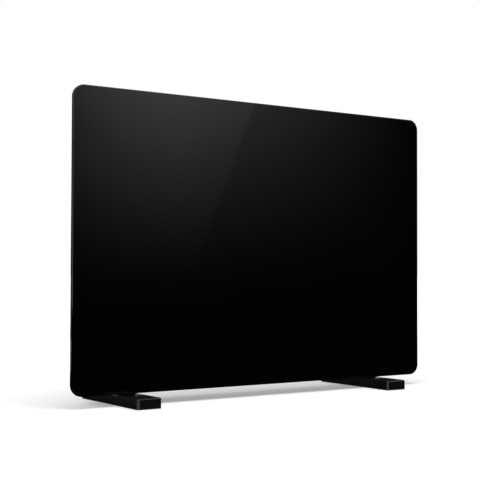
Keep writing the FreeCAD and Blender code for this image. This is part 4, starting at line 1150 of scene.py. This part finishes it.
def stage_plane(name, material, matrix, width, height):
    """A flat card for the stage."""
    made = bmesh.new()
    corners = ((-1, -1), (1, -1), (1, 1), (-1, 1))
    flat = [Vector((x * width / 2, y * height / 2, 0)) for x, y in corners]
    made.faces.new([made.verts.new(matrix @ point) for point in flat])
    card = bpy.data.objects.new(name, mesh_of(name, made))
    card.data.materials.append(material)
    bpy.context.scene.collection.objects.link(card)
    return card


def reflected_card(name, material, place, turn, width, height):
    """A card for the stage that is seen only in reflections."""
    card = stage_plane(name, material, Matrix.Translation(place) @ turn, width, height)
    for ray in ("camera", "diffuse", "shadow", "transmission", "volume_scatter"):
        setattr(card, "visible_" + ray, False)


def add_cards():
    """Sets up the cards and black flags that the glass reflects."""
    card_distance = 1.5
    glass_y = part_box("glass_panel")[0].y
    card_y = glass_y - card_distance
    level = Matrix.Identity(4)
    sideways = Matrix.Rotation(radians(35), 4, "Z") @ UPRIGHT
    graded = card_finish(glass_y, card_y)
    fading = flag_finish()
    black = glow_only("studio_black")[0]
    reflected_card("studio_card", graded, (1.1, card_y, 0.45), UPRIGHT, width=2.0, height=0.9)
    reflected_card("studio_flag", fading, (0.0, -1.55, 0.0005), level, width=7.0, height=3.8)
    reflected_card("studio_back_flag", black, (0.0, 1.4, 0.15), UPRIGHT, width=4.0, height=0.3)
    reflected_card("studio_edge_flag", black, (-0.89, 1.0, 0.4), sideways, width=0.8, height=0.8)


def add_world():
    """Lights everything evenly from all round, before a backdrop that reads white."""
    world = bpy.data.worlds.new("studio_world")
    world.use_nodes = True
    tree = world.node_tree
    backdrop = tree.nodes["Background"]
    backdrop.inputs["Color"].default_value = WHITE
    level = ranged(tree, seen_rays(tree), start=0.0, end=1.0, low=studio().ambient, high=1.0)
    tree.links.new(level, backdrop.inputs["Strength"])
    bpy.context.scene.world = world


def softbox(name, watts, place, aim, width, height):
    """A soft rectangular lamp."""
    lamp = bpy.data.lights.new(name, "AREA")
    lamp.shape = "RECTANGLE"
    lamp.size = width
    lamp.size_y = height
    lamp.energy = watts
    holder = bpy.data.objects.new(name, lamp)
    holder.location = place
    holder.rotation_euler = (Vector(aim) - Vector(place)).to_track_quat("-Z", "Y").to_euler()
    bpy.context.scene.collection.objects.link(holder)
    return holder


def link_feet(lamp, state):
    """Lets a lamp light only the feet, or everything but the feet."""
    group = bpy.data.collections.new(lamp.name + "_feet")
    for name in FEET:
        group.objects.link(bpy.data.objects[name + "_finished"])
    for item in group.collection_objects:
        item.light_linking.link_state = state
    lamp.light_linking.receiver_collection = group


def add_lamps():
    """Hangs a softbox overhead and stands a low one beside the feet."""
    overhead = softbox(
        "overhead_softbox", studio().overhead_power, place=(-0.15, -0.45, 2.1), aim=(0.0, 0.0, 0.1),
        width=2.0, height=1.6)
    low_box = softbox(
        "feet_softbox", studio().feet_power, place=(-0.95, -0.45, 0.13), aim=(-0.2, -0.08, 0.02),
        width=2.2, height=0.24)
    link_feet(low_box, "INCLUDE")
    link_feet(overhead, "EXCLUDE")


def add_camera():
    """Stands the camera where the photo was taken from."""
    lens = bpy.data.cameras.new("photo_camera")
    lens.sensor_fit = "HORIZONTAL"
    lens.sensor_width = 36.0
    lens.lens = studio().camera_lens
    camera = bpy.data.objects.new("photo_camera", lens)
    heading = Matrix.Rotation(-studio().camera_heading, 4, "Z")
    pitch = Matrix.Rotation(radians(90) + studio().camera_pitch, 4, "X")
    roll = Matrix.Rotation(studio().camera_roll, 4, "Z")
    camera.matrix_world = Matrix.Translation(studio().camera_place) @ heading @ pitch @ roll
    bpy.context.scene.collection.objects.link(camera)
    bpy.context.scene.camera = camera


class HEATER_OT_studio(bpy.types.Operator):
    """Build the pale floor, the soft lights and the camera"""

    bl_idname = "heater.studio"
    bl_label = "Studio"

    def execute(self, context):
        context.scene.view_settings.view_transform = "Standard"
        stage_plane("studio_floor", floor_finish(), Matrix.Identity(4), width=60.0, height=60.0)
        add_world()
        add_cards()
        add_lamps()
        add_camera()
        return {"FINISHED"}


# Registration

OPERATORS = (
    HEATER_OT_glass_front, HEATER_OT_rear_cover, HEATER_OT_screws, HEATER_OT_inserts, HEATER_OT_cord_gland,
    HEATER_OT_fascia, HEATER_OT_dial, HEATER_OT_switches, HEATER_OT_indicator, HEATER_OT_feet,
    HEATER_OT_inner_parts, HEATER_OT_wiring, HEATER_OT_studio,
)


class HEATER_PT_panel(bpy.types.Panel):
    """List the settings and steps of the heater"""

    bl_label = "Glass Panel Heater"
    bl_idname = "HEATER_PT_panel"
    bl_space_type = "VIEW_3D"
    bl_region_type = "UI"
    bl_category = "Heater"

    def draw(self, context):
        for settings in (sizes(), colours(), studio()):
            box = self.layout.box()
            for name in settings.__annotations__:
                box.prop(settings, name)
        for operator in OPERATORS:
            self.layout.operator(operator.bl_idname)


CLASSES = (HeaterSizes, HeaterColours, StudioSettings) + OPERATORS + (HEATER_PT_panel,)


def register():
    for cls in CLASSES:
        bpy.utils.register_class(cls)
    bpy.types.Scene.heater_sizes = PointerProperty(type=HeaterSizes)
    bpy.types.Scene.heater_colours = PointerProperty(type=HeaterColours)
    bpy.types.Scene.heater_studio = PointerProperty(type=StudioSettings)


def unregister():
    del bpy.types.Scene.heater_sizes
    del bpy.types.Scene.heater_colours
    del bpy.types.Scene.heater_studio
    for cls in reversed(CLASSES):
        bpy.utils.unregister_class(cls)


def main():
    register()
    bpy.ops.heater.glass_front()
    bpy.ops.heater.rear_cover()
    bpy.ops.heater.screws()
    bpy.ops.heater.inserts()
    bpy.ops.heater.cord_gland()
    bpy.ops.heater.fascia()
    bpy.ops.heater.dial()
    bpy.ops.heater.switches()
    bpy.ops.heater.indicator()
    bpy.ops.heater.feet()
    bpy.ops.heater.inner_parts()
    bpy.ops.heater.wiring()
    bpy.ops.heater.studio()


if __name__ == "__main__":
    main()
